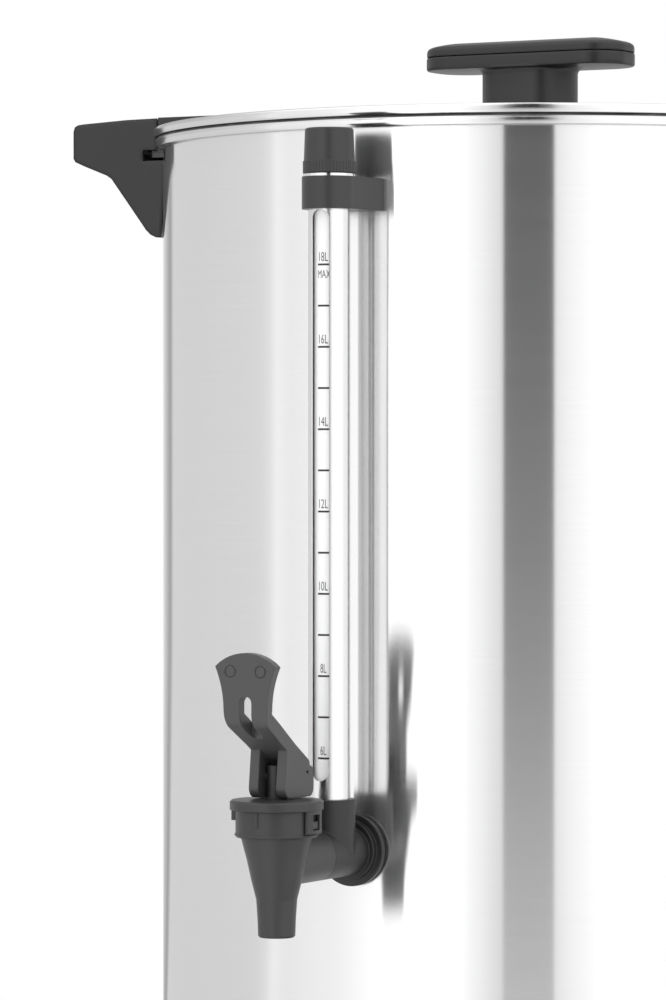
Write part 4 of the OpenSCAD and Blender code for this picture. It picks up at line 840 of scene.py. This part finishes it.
def wrap_round_tube(item, base_z, middle_turn):
    """Lays a flat drawing, X across and Y up, on the front of the tube."""
    for point in item.data.vertices:
        turn = point.co.x / SCALE_R + math.radians(middle_turn)
        height = base_z + point.co.y
        point.co = (SCALE_R * math.sin(turn), SCALE_Y - SCALE_R * math.cos(turn), height)
    item.matrix_world = Matrix.Identity(4)


def flat_text(words, height, width=0.0, stroke=0.0):
    """Text as a flat mesh, centred on X, standing on Y = 0, fitted to a width where one is given."""
    deselect()
    bpy.ops.object.text_add(location=(0, 0, 0))
    item = bpy.context.object
    item.data.body = words
    item.data.align_x = "CENTER"
    item.data.size = height / CAPITAL_SHARE
    item.data.offset = stroke * item.data.size
    item.data.resolution_u = TEXT_CURVE_CUTS
    bpy.ops.object.convert(target="MESH")
    item = bpy.context.object
    if width > 0:
        reach = [point.co.x for point in item.data.vertices]
        middle = (max(reach) + min(reach)) / 2
        for point in item.data.vertices:
            point.co.x = (point.co.x - middle) * width / (max(reach) - min(reach))
    return item


def print_tick(name, z):
    deselect()
    bpy.ops.mesh.primitive_grid_add(x_subdivisions=TICK_CUTS, y_subdivisions=1, size=1)
    item = bpy.context.object
    for point in item.data.vertices:
        point.co.x *= 2 * SCALE_R * math.radians(TICK_HALF_TURN)
        point.co.y *= TICK_H
    wrap_round_tube(item, z, TICK_TURN)
    finish_piece(item, name, dark_ink, "urn")


def print_label(name, words, base_z, height, letter_w, middle_turn):
    item = flat_text(words, height, letter_w * len(words), LABEL_STROKE)
    edit_all(item)
    bpy.ops.mesh.subdivide(number_cuts=LABEL_CUTS)
    bpy.ops.object.mode_set(mode="OBJECT")
    wrap_round_tube(item, base_z, middle_turn)
    finish_piece(item, name, grey_ink, "urn")


for litre in range(LOW_LITRE, TOP_LITRE + 1):
    tick_z = SCALE_TOP_Z - (TOP_LITRE - litre) * LITRE_H
    print_tick("scale_tick_%d" % litre, tick_z)
    if litre % LABEL_EVERY == 0:
        base_z = tick_z + TICK_H / 2 + LABEL_GAP
        print_label("scale_number_%d" % litre, "%dL" % litre, base_z, LABEL_H, LABEL_W, LABEL_TURN)
max_z = SCALE_TOP_Z - TICK_H / 2 - MAX_GAP - MAX_H
print_label("scale_max", "MAX", max_z, MAX_H, MAX_W, TICK_TURN)


# Markings of the control panel

def stand_up(item, place, tilt=0.0):
    """Stands a flat drawing up to face the front, leaning by the tilt, at its place."""
    select_only(item)
    item.rotation_euler = (math.radians(90 + tilt), 0, 0)
    item.location = place
    bpy.ops.object.transform_apply(location=True, rotation=True, scale=True)


def print_mark(name, words, height, place, body, tilt=0.0):
    """Prints a number or a letter, centred on its place."""
    item = flat_text(words, height)
    for point in item.data.vertices:
        point.co.y -= height / 2
    stand_up(item, place, tilt)
    finish_piece(item, name, white_ink, body)


def print_dial_numbers():
    """Numbers round the dial, counterclockwise from the top."""
    for step in range(DIAL_NUMBERS):
        turn = math.radians(step * DIAL_STEP)
        x, z = -DIAL_NUMBER_R * math.sin(turn), PANEL_MID_Z + DIAL_NUMBER_R * math.cos(turn)
        place = (x, PANEL_FACE_Y - INK_PROUD, z)
        print_mark("dial_number_%d" % step, "%d" % step, DIAL_NUMBER_H, place, "urn")


def print_pointer():
    deselect()
    bpy.ops.mesh.primitive_plane_add(size=1)
    item = bpy.context.object
    item.scale = (POINTER_W, POINTER_HIGH - POINTER_LOW, 1)
    bpy.ops.object.transform_apply(location=False, rotation=False, scale=True)
    edit_all(item)
    bpy.ops.mesh.bevel(offset=POINTER_CORNER_R, segments=POINTER_CUTS, affect="VERTICES")
    bpy.ops.object.mode_set(mode="OBJECT")
    middle = PANEL_MID_Z + (POINTER_HIGH + POINTER_LOW) / 2
    stand_up(item, (0, POINTER_FACE_Y - INK_PROUD, middle))
    finish_piece(item, "dial_pointer", white_ink, "dial")


print_dial_numbers()
print_pointer()
on_place = (ROCKER_X, ON_MARK_Y - INK_PROUD, ON_MARK_Z)
print_mark("rocker_on_mark", "I", MARK_H, on_place, "rocker", ON_MARK_TILT)
off_place = (ROCKER_X, OFF_MARK_Y - INK_PROUD, OFF_MARK_Z)
print_mark("rocker_off_mark", "O", MARK_H, off_place, "rocker")


# Studio

def panel_level(tree, turn):
    """Level of the studio's panels at a turn from the camera, in radians."""
    ramp = tree.nodes.new("ShaderNodeValToRGB")
    elements = ramp.color_ramp.elements
    for index, (degrees, level) in enumerate(STUDIO_STOPS):
        position = (degrees + 180) / 360
        stop = elements[index] if index < 2 else elements.new(position)
        stop.position = position
        stop.color = grey(level / STUDIO_SCALE)
    tree.links.new(remap(tree, turn, -math.pi, math.pi, 0.0, 1.0), ramp.inputs["Fac"])
    return times(tree, ramp.outputs["Color"], STUDIO_SCALE)


def make_studio_light():
    """Level that a shiny face sees at a turn from the camera: panels, and a dark gap at the camera."""
    group, start, end = new_group("studio_light", [("Turn", 0.0), ("Dark", 0.0)], ["Level", "Gap"])
    turn = start.outputs["Turn"]
    edge = math.radians(GAP_EDGE)
    left, right = math.radians(GAP_LEFT), math.radians(GAP_RIGHT)
    gap = times(group, remap(group, turn, left - edge, left + edge, 0.0, 1.0),
                remap(group, turn, right + edge, right - edge, 0.0, 1.0))
    panels = times(group, panel_level(group, turn), minus(group, 1.0, gap))
    dark = times(group, start.outputs["Dark"], gap)
    group.links.new(plus(group, panels, dark), end.inputs["Level"])
    group.links.new(gap, end.inputs["Gap"])
    return group


def seen_by_camera(tree, light_path):
    """1 for what the camera sees, also through clear parts, and 0 for light and mirror images."""
    return maths(tree, "MAXIMUM", light_path.outputs["Is Camera Ray"],
                 light_path.outputs["Is Transmission Ray"])


def room_level(tree, light, x, y, z):
    """Level of the studio in a direction: panels all round, and a roof. The roof leaves out the camera's
    gap and the back, apart from straight overhead. The back's panels are low, under a dimmer wall."""
    turn = maths(tree, "ARCTAN2", x, times(tree, y, -1.0))
    turn = minus(tree, turn, math.radians(CAMERA_TURN))
    turn = maths(tree, "WRAP", turn, math.pi, -math.pi)
    dark = remap(tree, z, -CAMERA_HEIGHT / FLOOR_R, GAP_DARK_TILT, GAP_FLOOR_FAR, GAP_DARK)
    studio = place_group(tree, light, Turn=turn, Dark=dark)
    behind_from, behind_to = (math.radians(degrees) for degrees in BACK_WALL_TURNS)
    behind = remap(tree, maths(tree, "ABSOLUTE", turn), behind_from, behind_to, 0.0, 1.0)
    roofless = times(tree, maths(tree, "MAXIMUM", studio["Gap"], behind),
                     remap(tree, z, *ROOF_GAP_TILTS, 1.0, 0.0))
    high = remap(tree, z, *ROOF_TILTS, 0.0, 1.0, smooth=True)
    high = times(tree, high, minus(tree, 1.0, roofless))
    around = times(tree, studio["Level"], minus(tree, 1.0, high))
    raised = times(tree, behind, remap(tree, z, *BACK_WALL_TILTS, 0.0, 1.0))
    wall = minus(tree, maths(tree, "MINIMUM", around, BACK_WALL), around)
    around = plus(tree, around, times(tree, wall, raised))
    return plus(tree, around, times(tree, high, ROOF))


def make_world(light):
    """White where the camera sees it, and the studio's level in light and mirror images."""
    world = bpy.data.worlds.new("studio")
    bpy.context.scene.world = world
    world.use_nodes = True
    tree = world.node_tree
    tree.nodes.clear()
    place = tree.nodes.new("ShaderNodeTexCoord")
    x, y, z = split_axes(tree, place.outputs["Generated"])
    seen = seen_by_camera(tree, tree.nodes.new("ShaderNodeLightPath"))
    hidden = times(tree, room_level(tree, light, x, y, z), minus(tree, 1.0, seen))
    background = tree.nodes.new("ShaderNodeBackground")
    background.inputs["Color"].default_value = grey(1.0)
    tree.links.new(plus(tree, hidden, seen), background.inputs["Strength"])
    output = tree.nodes.new("ShaderNodeOutputWorld")
    tree.links.new(background.outputs[0], output.inputs["Surface"])


def floor_reflection(tree, light, distance):
    """Level of the floor in shiny faces, which carries the studio's panels and gap down over it and is
    dimmed near the urn as a painted shadow.
    """
    place = tree.nodes.new("ShaderNodeTexCoord")
    mapping = tree.nodes.new("ShaderNodeMapping")
    mapping.inputs["Rotation"].default_value = (0, 0, -math.radians(CAMERA_TURN))
    tree.links.new(place.outputs["Object"], mapping.inputs["Vector"])
    axes = split_axes(tree, mapping.outputs["Vector"])
    forward = times(tree, axes["Y"], -1.0)
    turn = maths(tree, "ARCTAN2", axes["X"], minus(tree, forward, MIRROR_LINE))
    dark = remap(tree, forward, GAP_FLOOR_START, FLOOR_R, GAP_FLOOR_NEAR, GAP_FLOOR_FAR)
    level = place_group(tree, light, Turn=turn, Dark=dark)["Level"]
    level = times(tree, level, remap(tree, distance, FLOOR_DIM_R, FLOOR_R, FLOOR_DIM, 1.0))
    # Painted shadow near the urn
    near = remap(tree, distance, *FLOOR_NEAR_RADII, FLOOR_NEAR_LEVEL, 1.0, smooth=True)
    return times(tree, level, near)


def floor_material(light):
    """White floor that keeps the shadow near the urn and runs into the white background further out."""
    material, tree, shader = new_material("studio_floor")
    shader.inputs["Roughness"].default_value = FLOOR_ROUGHNESS
    waves = place_group(tree, grain_group, Stipple=200.0, Waves=6.0)["Waves"]
    dark_patch, light_patch = FLOOR_GREYS
    tint = mix_colour(tree, waves, grey(dark_patch), grey(light_patch))
    tree.links.new(tint, shader.inputs["Base Color"])
    place = tree.nodes.new("ShaderNodeTexCoord")
    length = tree.nodes.new("ShaderNodeVectorMath")
    length.operation = "LENGTH"
    tree.links.new(place.outputs["Object"], length.inputs[0])
    distance = length.outputs["Value"]
    light_path = tree.nodes.new("ShaderNodeLightPath")
    seen = seen_by_camera(tree, light_path)
    mirrored = times(tree, light_path.outputs["Is Glossy Ray"], minus(tree, 1.0, seen))
    far = remap(tree, distance, FLOOR_SHADOW_R, FLOOR_CLEAR_R, 0.0, 1.0, smooth=True)
    level = times(tree, floor_reflection(tree, light, distance), mirrored)
    glow = tree.nodes.new("ShaderNodeEmission")
    glow.inputs["Color"].default_value = grey(1.0)
    tree.links.new(plus(tree, level, seen), glow.inputs["Strength"])
    mix = tree.nodes.new("ShaderNodeMixShader")
    tree.links.new(plus(tree, times(tree, seen, far), mirrored), mix.inputs[0])
    tree.links.new(shader.outputs[0], mix.inputs[1])
    tree.links.new(glow.outputs[0], mix.inputs[2])
    tree.links.new(mix.outputs[0], tree.nodes["Material Output"].inputs["Surface"])
    return material


def make_floor(light):
    deselect()
    bpy.ops.mesh.primitive_circle_add(vertices=FLOOR_POINTS, radius=FLOOR_R, fill_type="NGON")
    floor = bpy.context.object
    floor.name = "studio_floor"
    floor.data.materials.append(floor_material(light))


def make_camera():
    turn = math.radians(CAMERA_TURN)
    data = bpy.data.cameras.new("camera")
    data.lens = CAMERA_LENS
    data.sensor_width = CAMERA_SENSOR
    camera = bpy.data.objects.new("camera", data)
    bpy.context.scene.collection.objects.link(camera)
    away = Vector((math.sin(turn), -math.cos(turn), 0))
    camera.location = away * CAMERA_DISTANCE + Vector((0, 0, CAMERA_HEIGHT))
    camera.rotation_euler = (math.radians(90 + CAMERA_PITCH), 0, turn + math.radians(CAMERA_YAW))
    bpy.context.scene.camera = camera


studio_light = make_studio_light()
make_world(studio_light)
make_floor(studio_light)
make_camera()
bpy.context.scene.view_settings.view_transform = "Standard"
